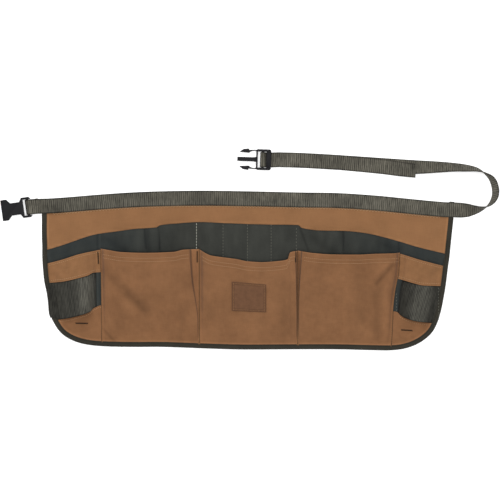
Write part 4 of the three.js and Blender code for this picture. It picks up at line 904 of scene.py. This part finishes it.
# the bare label patch on the middle pouch, its edge pressed down by a border of stitches
patchEdges = {"across": (-0.0389, 0.0442), "top": (0.43, 0.412), "hem": (0.2476, 0.239)}
middlePouch = pouches[1]


def patchPoint(a, d):
    x = mix(*patchEdges["across"], a) * apronWidth
    return x, mix(mix(*patchEdges["top"], a), mix(*patchEdges["hem"], a), d) * apronHeight


acrossPatch, downPatch = np.meshgrid(np.linspace(0, 1, 60), np.linspace(0, 1, 50), indexing="ij")
x, y = patchPoint(acrossPatch, downPatch)
mouth = edgeReader(middlePouch["mouth"])(x)
height = pouchHeight(middlePouch, x, y, (mouth - y) / (mouth - hemUp(x))) + canvasWall + layerGap
under = np.stack([x, y, height], axis=-1)
along, down = runLength(under, 0), runLength(under, 1)
toEdge = np.minimum.reduce([along, along[-1] - along, down, down[:, -1:] - down])
pressed = 0.3 * bell(toEdge - 2.6, 0.9)
patch = {
    "name": "patch_cloth", "node": "label_patch", "material": patchCloth, "slot": "patch", "wall": canvasWall,
    "held": "laid", "restsOn": ["pouch_middle"], "mottle": [{"by": 0.12, "wide": 7, "seed": 70}],
}
tone = layered(under, patch["mottle"]) - 0.18 * bell(toEdge, 2.2) - 0.15 * bell(toEdge - 3.9, 0.8)
clothPiece(patch, under, -pressed, tone)


def seamReader(side, inset=0):
    # the inner seam of a side, as a place across for each height
    across = reader(side["inner"]["up"][::-1], side["inner"]["across"][::-1])
    return lambda y: across(y / apronHeight) * apronWidth - side["turn"] * inset


def stripGrid(side, topTable, hemTable, topGap, inset, arch):
    # an arched strip from the inner seam out to the cloth's edge
    top, hem, inner = edgeReader(topTable), edgeReader(hemTable), seamReader(side, inset)
    out, down = np.meshgrid(np.linspace(0, 1, 90), np.linspace(0, 1, 56), indexing="ij")
    middle = apronHeight / 2
    x = mix(inner(middle), edgeAcross(middle, side["turn"]), out)
    for _ in range(6):
        y = mix(top(x) - topGap, hem(x), down)
        x = mix(inner(y), edgeAcross(y, side["turn"]), out)
    z = frontFloor + edgeRise(x, y) + archRise(out) * mix(arch[0], arch[1], down)
    return np.stack([x, y, z], axis=-1)


def cornerGrid(side, steps):
    # the cloth below the loop, between the inner seam and the outline
    loopHem, inner = edgeReader(side["loopHem"]), seamReader(side)
    top = lambda x: loopHem(x) - layerGap
    isLeft = side["turn"] > 0
    half = clothEdge[: len(clothEdge) // 2] if isLeft else clothEdge[len(clothEdge) // 2 :][::-1]
    hemX = inner(0) - side["turn"] * 6
    outer = half[(half[:, 1] < top(half[:, 0])) & ((half[:, 0] < hemX) if isLeft else (half[:, 0] > hemX))]
    outer = evenly(outer, steps)
    innerTop, innerHem = float(inner(apronHeight / 4)), float(inner(0))
    innerY = np.linspace(float(top(innerTop)), float(hemUp(innerHem)), steps)
    innerLine = np.stack([inner(innerY), innerY], axis=1)
    innerLine[0, 0] = innerTop
    topX = np.linspace(outer[0, 0], innerLine[0, 0], steps)
    hemX = np.linspace(outer[-1, 0], innerLine[-1, 0], steps)
    topLine = np.stack([topX, top(topX)], axis=1)
    hemLine = np.stack([hemX, hemUp(hemX)], axis=1)
    topLine[0], topLine[-1], hemLine[0], hemLine[-1] = outer[0], innerLine[0], outer[-1], innerLine[-1]
    flat = coonsGrid(topLine, hemLine, outer, innerLine)
    return raisedGrid(flat, frontFloor + edgeRise(flat[..., 0], flat[..., 1]))


# bands, webbing loops and corner canvas of both sides; lit is where a loop's painted highlight lies, as a share
# outwards, and glow is how strong it is
bandStrip = {
    "material": canvas, "slot": "canvas", "wall": canvasWall, "gap": 0, "inset": 0, "arch": bandArch,
    "uneven": [{"by": 0.25, "wide": 16, "seed": 30}], "tone": -0.08, "edge": 0.2, "lit": 0.5, "glow": 0,
}
loopStrip = {
    "material": loopWebbing, "slot": "webbing", "wall": webbingWall, "gap": layerGap, "inset": loopInset,
    "arch": loopArch, "uneven": [{"by": 0.12, "wide": 16, "seed": 30}], "edge": -0.35,
}
loopLight = {
    "left": {"tone": -0.32, "lit": 0.22, "glow": 0.8},
    "right": {"tone": -0.42, "lit": 0.53, "glow": 0.62},
}
corner = {
    **canvasSheet, "material": pouchCanvas, "restsOn": ["nylon_cloth"],
    "ripple": [{"by": 0.2, "wide": 18, "seed": 40}], "mottle": [{"by": 0.14, "wide": 15, "seed": 64}],
}
for number, side in enumerate(sides):
    name = side["name"]
    band = {**bandStrip, "name": "band_" + name, "node": name + "_side_band"}
    loop = {**loopStrip, **loopLight[name], "name": "loop_" + name, "node": name + "_hammer_loop"}
    for strip, top, hem in ((band, "bandTop", "bandHem"), (loop, "bandHem", "loopHem")):
        under = stripGrid(side, side[top], side[hem], strip["gap"], strip["inset"], strip["arch"])
        across, down = runLength(under, 0), runLength(under, 1)
        # painted highlights along the bands' edges and painted shade along the loops' edges; on each loop a
        # painted highlight where its arch shines and painted shade at its inner end
        edges = bell(down, 1.2) + bell(down[:, -1:] - down, 1.2)
        out = across / across[-1]
        lit = (bell(out - strip["lit"], 0.19, 4) - 0.5 * bell(out, 0.06)) * strip["glow"]
        tone = strip["tone"] + edges * strip["edge"] + lit + 0.12 * noiseAt(under, 12, 60 + number)
        piece = {**strip, "held": "stretched", "restsOn": ["nylon_cloth"]}
        clothPiece(piece, under, layered(under, strip["uneven"], number), tone)
    under = cornerGrid(side, 60)
    piece = {**corner, "name": "corner_" + name, "node": name + "_corner_panel"}
    # painted highlight along the tape, and patches of tone
    tone = tapeSideHighlight(under) + layered(under, corner["mottle"], number) + 0.03
    clothPiece(piece, under, layered(under, corner["ripple"], number), tone)
print("sides made")


def tubePiece(piece, rings, uv, tone):
    # a closed solid through rings of matching places
    rings = np.asarray(rings)
    count, size = rings.shape[:2]
    index = np.arange(count * size).reshape(count, size)
    after = np.roll(index, -1, axis=1)
    faces = np.stack([index[:-1], after[:-1], after[1:], index[1:]], axis=-1).reshape(-1, 4).tolist()
    faces += [index[0, ::-1].tolist(), index[-1].tolist()]
    made = meshObject(piece["name"], rings, faces, piece["material"], uv, tone)
    work = bmesh.new()
    work.from_mesh(made.data)
    bmesh.ops.recalc_face_normals(work, faces=work.faces)
    work.to_mesh(made.data)
    work.free()
    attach(made, "root")
    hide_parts(*piece["nodes"])
    return made


# the binding: tape folded round the edge, higher where it closes over more plies
def bindingRing(height):
    nose = 1.5
    quarter = np.radians([0, 30, 60, 90])
    lower = [(nose - nose * math.sin(q), nose - nose * math.cos(q)) for q in quarter]
    upper = [(nose - nose * math.cos(q), height - nose + nose * math.sin(q)) for q in quarter]
    soft = 0.25
    return [
        (tapeWidth, 0.0), *lower, *upper,
        (tapeWidth - soft * 2, height), (tapeWidth, height - soft), (tapeWidth, height - tapeWall),
        (tapeWall, height - tapeWall), (tapeWall, tapeWall), (tapeWidth, tapeWall),
    ]


tapeHeight = np.interp(outlinePlies, [1, 2, 3], tapeHeights)
sections = np.array([bindingRing(h) for h in tapeHeight])
ringXY = outlineLine[:, None] + outlineInward[:, None] * sections[..., :1]
rings = np.concatenate([ringXY, sections[..., 1:]], axis=-1)
binding = {
    "name": "binding_tape", "nodes": ["edge_binding"], "material": tape, "slot": "tape", "held": "folded",
    "restsOn": ["panel_cloth"], "aroundEdge": 4.5, "mottle": [{"by": 0.15, "wide": 20, "seed": 8}],
}
tapeUv = np.stack([runLength(rings, 0), runLength(rings, 1)], axis=-1)
tonePatches = layered(rings, binding["mottle"]) - 0.12
tubePiece(binding, rings, tapeUv, tonePatches)


# the left loop's outer end is folded over the binding, down to a square corner
loopEnd = {
    "name": "loop_left_end", "node": "left_hammer_loop", "material": loopWebbing, "slot": "webbing",
    "wall": 1.2, "held": "folded", "restsOn": ["binding_tape"],
    "top": 0.414, "hem": 0.205, "outwards": 1.6, "inwards": 13, "slant": 2.6,
    "mottle": [{"by": 0.15, "wide": 9, "seed": 71}],
}
upEnd = np.linspace(loopEnd["top"], loopEnd["hem"], 40) * apronHeight
inEnd = np.linspace(-loopEnd["outwards"], loopEnd["inwards"], 20)[:, None]
leftSide = np.arange(len(outlineLine) // 3)
atEnd = np.interp(upEnd, outlineLine[leftSide, 1][::-1], leftSide[::-1])
onOutline = np.interp(atEnd, np.arange(len(outlineLine)), outlineLine[:, 0])
onTape = np.interp(atEnd, np.arange(len(tapeHeight)), tapeHeight)
under = np.empty((20, 40, 3))
under[..., 0] = onOutline + inEnd + np.linspace(loopEnd["slant"], 0, 40)
under[..., 1] = upEnd - 0.12 * np.clip(inEnd, 0, 20)
under[..., 2] = onTape + seatGap + webbingWall * 0.2 * np.clip(1 - abs(inEnd - 5) / 6, 0, 1)
clothPiece(loopEnd, under, 0.0, layered(under, loopEnd["mottle"]) - 0.5)


def strapRings(points, widths):
    # webbing with rounded edges, darkened with painted shade, through middle points and directions of its width
    normal = unit(np.cross(np.gradient(points, axis=0), widths))
    across = [-0.95, -0.87, -0.8, -0.4, 0, 0.4, 0.8, 0.87, 0.95]
    edge = [(0.985, -0.7), (1, 0), (0.985, 0.7)]
    section = [(a, -1) for a in across] + edge + [(a, 1) for a in across[::-1]] + [(-a, -u) for a, u in edge]
    width, thick = widths * beltWidth / 2, normal * webbingWall / 2
    rings = np.stack([points + width * a + thick * u for a, u in section], axis=1)
    # painted shade along both edges
    tone = np.array([-0.42 if abs(a) > 0.84 else 0 for a, _ in section])
    return rings, np.broadcast_to(tone, rings.shape[:2])


def strapUv(rings):
    along = runLength(rings.mean(axis=1), 0)
    around = runLength(rings[:1], 1)[0]
    return np.stack(np.broadcast_arrays(along[:, None], around[None]), axis=-1)


def tableLine(table, steps):
    # a strap's middle line, the direction to its left and the other columns of its table
    count = len(table["across"])
    places = np.stack([np.array(table["across"]) * apronWidth, np.array(table["up"]) * apronHeight], axis=1)
    line = curveThrough(places, steps)
    row = np.linspace(0, count - 1, len(line))
    along = unit(np.gradient(line, axis=0))
    left = np.stack([-along[:, 1], along[:, 0], 0 * row], axis=1)
    columns = {key: reader(range(count), values)(row) for key, values in table.items()}
    return line, left, columns


def frameAt(across, up, degrees):
    # the direction of the strap's width through a buckle, and places along and above the buckle
    turn = math.radians(degrees)
    along = np.array([math.cos(turn), math.sin(turn), 0])
    side = np.array([-math.sin(turn), math.cos(turn), 0])
    origin = np.array([across * apronWidth, up * apronHeight, 0])
    return side, lambda x, z: origin + along * x + np.array([0, 0, z])


bend = seatGap + webbingWall / 2  # from a bar's face to the middle of the strap


def cornerTurn(x, z, start, end):
    # the strap's way round one edge of a bar
    return [(x + bend * math.cos(q), z + bend * math.sin(q)) for q in np.radians(np.linspace(start, end, 5))]


# the belt, with its flap round the socket's bar
socketSide, socketAt = frameAt(-0.533, 0.8965, 8)
socketBar = {"left": -2.25, "right": 2.25, "top": 7.0, "bottom": 4.0}
belowBar, aboveBar = socketBar["bottom"] - bend, socketBar["top"] + bend
wrap = [(18, belowBar - 0.2), (13, belowBar - 0.1), (9, belowBar), (4, belowBar)]
wrap += cornerTurn(socketBar["left"], socketBar["bottom"], 270, 180)
wrap += cornerTurn(socketBar["left"], socketBar["top"], 180, 90)
wrap += [(0, aboveBar), (socketBar["right"], aboveBar)]
line, left, columns = tableLine(beltTable, 10)
beltZ = beltFloor + webbingWall / 2 + beltOverTape * columns["lift"]
beltPoints = np.vstack([[socketAt(x, z) for x, z in wrap], np.column_stack([line, beltZ])])
beltSides = np.vstack([[socketSide] * len(wrap), left])

# on past the corner: up onto its edge round the turn, through the plug's bars and back over itself
plugSide, plugAt = frameAt(0.039, 1.1935, -2)
plugFrame = {"reach": 23.9, "rail": 2.7, "window": 6, "midBar": 4.8, "midHigh": 3.2, "endBar": 7.9}
ply = webbingWall + seatGap
endRight = plugFrame["reach"] / 2
endLeft = endRight - plugFrame["endBar"]
midLeft = (plugFrame["rail"] - plugFrame["reach"]) / 2 + plugFrame["window"]
midRight = midLeft + plugFrame["midBar"]
midBottom, midTop, endBottom = ply, ply + plugFrame["midHigh"], 2 * ply
line, left, columns = tableLine(strapTable, 8)
line[:, 0] -= 1.6 * np.clip((line[:, 0] - 395) / 20, 0, 1)  # the turn sits a little further in
lean = np.radians(np.minimum(columns["lean"], 90) + 0.7 * np.maximum(columns["lean"] - 90, 0))
strapSides = left * np.cos(lean)[:, None]
strapSides[:, 2] = np.sin(lean)
strapZ = columns["lift"] * (beltFloor + beltOverTape)
strapZ = strapZ + beltWidth / 2 * np.sin(lean) + webbingWall / 2 * abs(np.cos(lean))
strapPoints = np.column_stack([line, strapZ])
strapNormal = unit(np.cross(np.stack([left[:, 1], -left[:, 0], 0 * lean], axis=1), strapSides))
passing = [(endRight, webbingWall / 2), (midRight, webbingWall / 2), (midLeft, webbingWall / 2)]
passing += cornerTurn(midLeft, midBottom, 270, 180)[1:] + cornerTurn(midLeft, midTop, 180, 90)
passing += cornerTurn(midRight, midTop, 90, 0) + cornerTurn(endLeft, endBottom, 180, 270)
passing += [(endRight, endBottom - bend)]
isTail = (strapPoints[:, 1] > apronHeight) & (strapPoints[:, 0] < tailTable["across"][-1] * apronWidth)
slip = reader(tailTable["across"], tailTable["slip"])(strapPoints[:, 0] / apronWidth) * beltWidth
tailPoints = (strapPoints + strapNormal * ply + strapSides * slip[:, None])[isTail][::-1]
points = np.vstack([beltPoints, strapPoints[1:], [plugAt(x, z) for x, z in passing], tailPoints])
sidesOf = np.vstack([beltSides, strapSides[1:], [-plugSide] * len(passing), strapSides[isTail][::-1]])
rings, tone = strapRings(points, sidesOf)
# patches of darker and lighter tone along it, and the flap round the socket's bar darkened with painted shade,
# with a painted highlight on the ridge beside it
belt = {
    "name": "belt_webbing", "nodes": ["waist_belt", "free_strap"], "material": webbing, "slot": "webbing",
    "held": "laid", "restsOn": ["table", "panel_cloth"],
    "mottle": [{"by": 0.3, "wide": 26, "seed": 9}, {"by": 0.14, "wide": 8, "seed": 11}],
    "tonePatches": [
        {"at": -335, "width": 45, "shade": -0.15},
        {"at": -220, "width": 80, "shade": -0.08},
        {"at": 60, "width": 120, "shade": 0.06},
    ],
}
toBar = rings[..., 0] - socketAt(0, 0)[0]
# painted shade on the flap round the socket's bar and a painted highlight on the ridge beside it
tone = tone + layered(rings, belt["mottle"]) - 0.35 * (toBar < 0.5) + 0.5 * bell(toBar - 3.4, 0.9) - 0.04
for mark in belt["tonePatches"]:
    tone = tone + mark["shade"] * bell(rings[..., 0] - mark["at"], mark["width"])
tubePiece(belt, rings, strapUv(rings), tone)
print("tape and straps made")


def mouldedPiece(node, name):
    # the frame's own moulding with its edges rounded as a mould leaves them
    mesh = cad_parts[node].data.copy()
    work = bmesh.new()
    work.from_mesh(mesh)
    bmesh.ops.transform(work, matrix=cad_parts[node].matrix_world, verts=work.verts)
    bmesh.ops.remove_doubles(work, verts=work.verts, dist=1e-5)
    bmesh.ops.dissolve_limit(work, angle_limit=math.radians(1), verts=work.verts, edges=work.edges)
    sharp = [e for e in work.edges if len(e.link_faces) == 2 and e.calc_face_angle() > math.radians(25)]
    bmesh.ops.bevel(
        work, geom=sharp, offset=0.00035, segments=2, profile=0.6, affect="EDGES", clamp_overlap=True
    )
    work.to_mesh(mesh)
    work.free()
    mesh.polygons.foreach_set("use_smooth", [True] * len(mesh.polygons))
    mesh.set_sharp_from_angle(angle=math.radians(35))
    mesh.materials.clear()
    mesh.materials.append(acetal)
    made = bpy.data.objects.new(name, mesh)
    bpy.context.collection.objects.link(made)
    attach(made, "root")
    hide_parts(node)
    return made


mouldedPiece("socket_buckle", "socket_moulding")
mouldedPiece("plug_buckle", "plug_moulding")
print("buckle made")

# everything that stitches can lie on, seen from above
allPoints, allFaces, start = [], [], 0
for points, faces in beneath:
    allPoints += points.tolist()
    allFaces += [[i + start for i in face] for face in faces]
    start = len(allPoints)
surface = BVHTree.FromPolygons(allPoints, allFaces)


def drape(line, rise):
    # a flat line laid onto the cloth below it
    world = (np.column_stack([line, np.zeros(len(line))]) + apronShift) * 0.001
    found = []
    for x, y, _ in world:
        hit = surface.ray_cast(Vector((x, y, 0.1)), Vector((0, 0, -1)))[0]
        if hit is not None:
            found.append((hit.x, hit.y, hit.z + rise * 0.001))
    return found


def stitchTree():
    # resamples lines by the stitch pitch and sets a small bead of thread at each place
    tree = bpy.data.node_groups.new("stitches", "GeometryNodeTree")
    tree.interface.new_socket("Geometry", in_out="INPUT", socket_type="NodeSocketGeometry")
    for name in ("Pitch", "Length", "Width", "Lean"):
        tree.interface.new_socket(name, in_out="INPUT", socket_type="NodeSocketFloat")
    tree.interface.new_socket("Thread", in_out="INPUT", socket_type="NodeSocketMaterial")
    tree.interface.new_socket("Geometry", in_out="OUTPUT", socket_type="NodeSocketGeometry")
    given = add(tree, "NodeGroupInput").outputs
    curve = add(tree, "GeometryNodeMeshToCurve", Mesh=given["Geometry"]).outputs["Curve"]
    spaced = add(
        tree, "GeometryNodeResampleCurve", {"mode": "LENGTH"}, Curve=curve, Length=given["Pitch"]
    ).outputs["Curve"]
    tangent = add(tree, "GeometryNodeInputTangent").outputs["Tangent"]
    facing = add(tree, "FunctionNodeAlignRotationToVector", {"axis": "X"}, Vector=tangent).outputs["Rotation"]
    index = add(tree, "GeometryNodeInputIndex").outputs["Index"]
    odd = add(tree, "ShaderNodeMath", {"operation": "MODULO"}, Value=index, Value_001=2.0).outputs[0]
    sign = add(
        tree, "ShaderNodeMath", {"operation": "MULTIPLY_ADD"}, Value=odd, Value_001=2.0, Value_002=-1.0
    ).outputs[0]
    lean = given["Lean"]
    angle = add(tree, "ShaderNodeMath", {"operation": "MULTIPLY"}, Value=sign, Value_001=lean).outputs[0]
    twist = add(tree, "FunctionNodeAxisAngleToRotation", Axis=(0, 0, 1), Angle=angle).outputs["Rotation"]
    turned = add(
        tree, "FunctionNodeRotateRotation", {"rotation_space": "LOCAL"}, Rotation=facing, Rotate_By=twist
    ).outputs["Rotation"]
    bead = add(tree, "GeometryNodeMeshUVSphere", Segments=6, Rings=4, Radius=0.5).outputs["Mesh"]
    length, width = given["Length"], given["Width"]
    size = add(tree, "ShaderNodeCombineXYZ", X=length, Y=width, Z=width).outputs["Vector"]
    placed = add(
        tree, "GeometryNodeInstanceOnPoints", Points=spaced, Instance=bead, Rotation=turned, Scale=size
    ).outputs["Instances"]
    solid = add(tree, "GeometryNodeRealizeInstances", Geometry=placed).outputs["Geometry"]
    smooth = add(tree, "GeometryNodeSetShadeSmooth", Geometry=solid).outputs["Geometry"]
    dyed = add(tree, "GeometryNodeSetMaterial", Geometry=smooth, Material=given["Thread"])
    add(tree, "NodeGroupOutput", Geometry=dyed.outputs["Geometry"])
    return tree


stitches = stitchTree()


def sewn(name, lines, look):
    # beads of thread along lines that are laid onto the cloth; lengths in mm, lean in degrees
    points, edges = [], []
    for line in lines:
        laid = drape(line, look["rise"])
        edges += [(len(points) + i, len(points) + i + 1) for i in range(len(laid) - 1)]
        points += laid
    mesh = bpy.data.meshes.new(name)
    mesh.from_pydata(points, edges, [])
    made = bpy.data.objects.new(name, mesh)
    bpy.context.collection.objects.link(made)
    modifier = made.modifiers.new("stitches", "NODES")
    modifier.node_group = stitches
    values = {name.title(): look[name] * 0.001 for name in ("pitch", "length", "width")}
    values |= {"Lean": math.radians(look["lean"]), "Thread": look["thread"]}
    for socket in stitches.interface.items_tree:
        if socket.in_out == "INPUT" and socket.name in values:
            modifier[socket.identifier] = values[socket.name]
    made.data.update()
    graph = bpy.context.evaluated_depsgraph_get()
    beads = bpy.data.meshes.new_from_object(made.evaluated_get(graph), depsgraph=graph)
    made.modifiers.clear()
    made.data = beads
    beads.name = name
    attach(made, "root")
    return made


def acrossLine(start, end, height, step=3.0):
    x = np.linspace(start, end, max(int(abs(end - start) / step), 2))
    return np.column_stack([x, height(x)])


def straight(x1, y1, x2, y2):
    return evenly(np.array([[x1, y1], [x2, y2]], float), 30)


flatSeam = {"lean": 0, "rise": 0.1}
tanSeam = {
    **flatSeam, "pitch": 3.4, "length": 2.4, "width": 0.95, "rise": 0.15, "thread": tanThread, "slot": "canvas",
}
tanLines, seamLines = [], []
for pouch in pouches:
    ends = pouchAnchors(pouch, np.zeros(1))[:, 0]
    low, high = sorted([ends[1], ends[2]])
    mouthOf = edgeReader(pouch["mouth"])
    for row in hemRows:
        tanLines.append(acrossLine(low + 3, high - 1, lambda x, row=row: mouthOf(x) - row * 0.97))
    share = np.linspace(0.01, 0.96, 40)
    anchors = pouchAnchors(pouch, share)
    for seam in (mix(anchors[0], anchors[1], 0.3), mix(anchors[4], anchors[3], 0.3)):
        seamLines.append(np.column_stack([seam, mix(mouthOf(seam), hemUp(seam), share)]))
for side in sides:
    for table, off in (("bandTop", -4), ("bandHem", 4), ("loopHem", -4)):
        row = lambda x, up=edgeReader(side[table]), off=off: up(x) + off
        seam = seamReader(side)(apronHeight / 2)
        edge = edgeAcross(row(seam), side["turn"])
        for _ in range(4):
            edge = edgeAcross(row(edge), side["turn"])
        tanLines.append(acrossLine(seam, edge + side["turn"] * 11, row))
sewn("stitches_canvas", tanLines, tanSeam)

ownSeam = {**flatSeam, "pitch": 3.0, "length": 2.6, "width": 1.3, "thread": canvasThread, "slot": "canvas"}
sewn("stitches_seams", seamLines, ownSeam)

beltEdge = {**tanSeam, "pitch": 2.6, "length": 4.8, "width": 1.2, "lean": 50, "rise": 0.2}
sewn("stitches_belt", [acrossLine(-330, 325, lambda x: beltMiddle(x) - beltWidth / 2 - 0.9)], beltEdge)

patchSeam = {**ownSeam, "pitch": 2.6, "length": 1.9, "width": 0.8, "slot": "patch"}
inset = 0.05
corners = [(inset, inset), (1 - inset, inset), (1 - inset, 1 - inset), (inset, 1 - inset), (inset, inset)]
border = [patchPoint(a, d) for a, d in corners]
sewn("stitches_patch", [evenly(np.array(border[i : i + 2]), 30) for i in range(4)], patchSeam)

# the pencil pockets' seams on the nylon, one pale and the rest faint
paleSeam = {**flatSeam, "pitch": 5.0, "length": 3.4, "width": 1.25, "thread": paleThread, "slot": "nylon"}
sewn("stitches_nylon", [straight(-87.3, 214, -87.3, 174)], paleSeam)
greySeam = {**paleSeam, "width": 1.0, "thread": greyThread}
sewn("stitches_faint", [
    straight(82.2, 206, 82.2, 172),
    straight(-0.7, 212, -0.7, 152),
    straight(-42.2, 212, -42.2, 160),
    straight(39.5, 212, 39.5, 152),
    straight(252.3, 95, 252.3, 68),
    straight(323.6, 105, 323.6, 53),
], greySeam)

tapeSeam = {**flatSeam, "pitch": 3.0, "length": 2.3, "width": 0.7, "thread": darkThread, "slot": "tape"}
sewn("stitches_tape", [(outlineLine + outlineInward * 6.8)[20:-20]], tapeSeam)

barTack = {**tapeSeam, "pitch": 0.7, "length": 3.4, "width": 0.8, "lean": 70, "rise": 0.2}
sewn("bar_tacks", [
    straight(-292.3, 45.9, -272, 45.5),
    straight(260.5, 34.6, 279, 33.4),
    straight(-254.6, 167, -253.6, 147),
    straight(-86.2, 168, -86.2, 149.5),
    straight(80.6, 166, 80.6, 149),
], barTack)
print("stitches made")

# plain white table and soft studio light; the table glows a little, which keeps the shadows faint
floorMesh = bpy.data.meshes.new("table")
reach, drop = 3.0, -0.0004
corners = [(-reach, -reach, drop), (reach, -reach, drop), (reach, reach, drop), (-reach, reach, drop)]
floorMesh.from_pydata(corners, [], [(0, 1, 2, 3)])
floor = bpy.data.objects.new("table", floorMesh)
bpy.context.collection.objects.link(floor)
floorMaterial = bpy.data.materials.new("painted board, flat white")
floorMaterial.use_nodes = True
floorTree = floorMaterial.node_tree
floorTree.nodes.clear()
paint = add(
    floorTree, "ShaderNodeBsdfPrincipled", Base_Color=(0.96, 0.96, 0.96, 1), Roughness=0.95,
    Specular_IOR_Level=0.05, Emission_Color=(1, 1, 1, 1), Emission_Strength=0.3,
)
add(floorTree, "ShaderNodeOutputMaterial", Surface=paint.outputs["BSDF"])
floorMesh.materials.append(floorMaterial)

world = bpy.data.worlds.new("studio")
bpy.context.scene.world = world
world.use_nodes = True
world.node_tree.nodes.clear()
sky = add(world.node_tree, "ShaderNodeBackground", Color=(1, 1, 1, 1), Strength=0.6)
add(world.node_tree, "ShaderNodeOutputWorld", Surface=sky.outputs["Background"])


def softLight(name, place, size, power):
    lamp = bpy.data.lights.new(name, "AREA")
    lamp.shape, lamp.size, lamp.energy = "SQUARE", size, power
    made = bpy.data.objects.new(name, lamp)
    made.location = place
    made.rotation_euler = (Vector((0, 0, 0)) - Vector(place)).to_track_quat("-Z", "Y").to_euler()
    bpy.context.collection.objects.link(made)


softLight("soft_box_overhead", (0.0, 0.0, 5.4), 2.2, 160)
softLight("soft_box_upper_left", (-1.6, 1.6, 1.9), 1.6, 26)
softLight("soft_box_right", (1.9, 0.4, 2.2), 1.6, 7)

camera = bpy.data.objects.new("camera", bpy.data.cameras.new("camera"))
camera.data.lens, camera.data.sensor_width = 200, 36
camera.data.dof.use_dof = False
camera.location = (-0.0007, -0.0013, 4.72)
bpy.context.collection.objects.link(camera)
bpy.context.scene.camera = camera
bpy.context.scene.view_settings.view_transform = "Standard"
print("stage made")
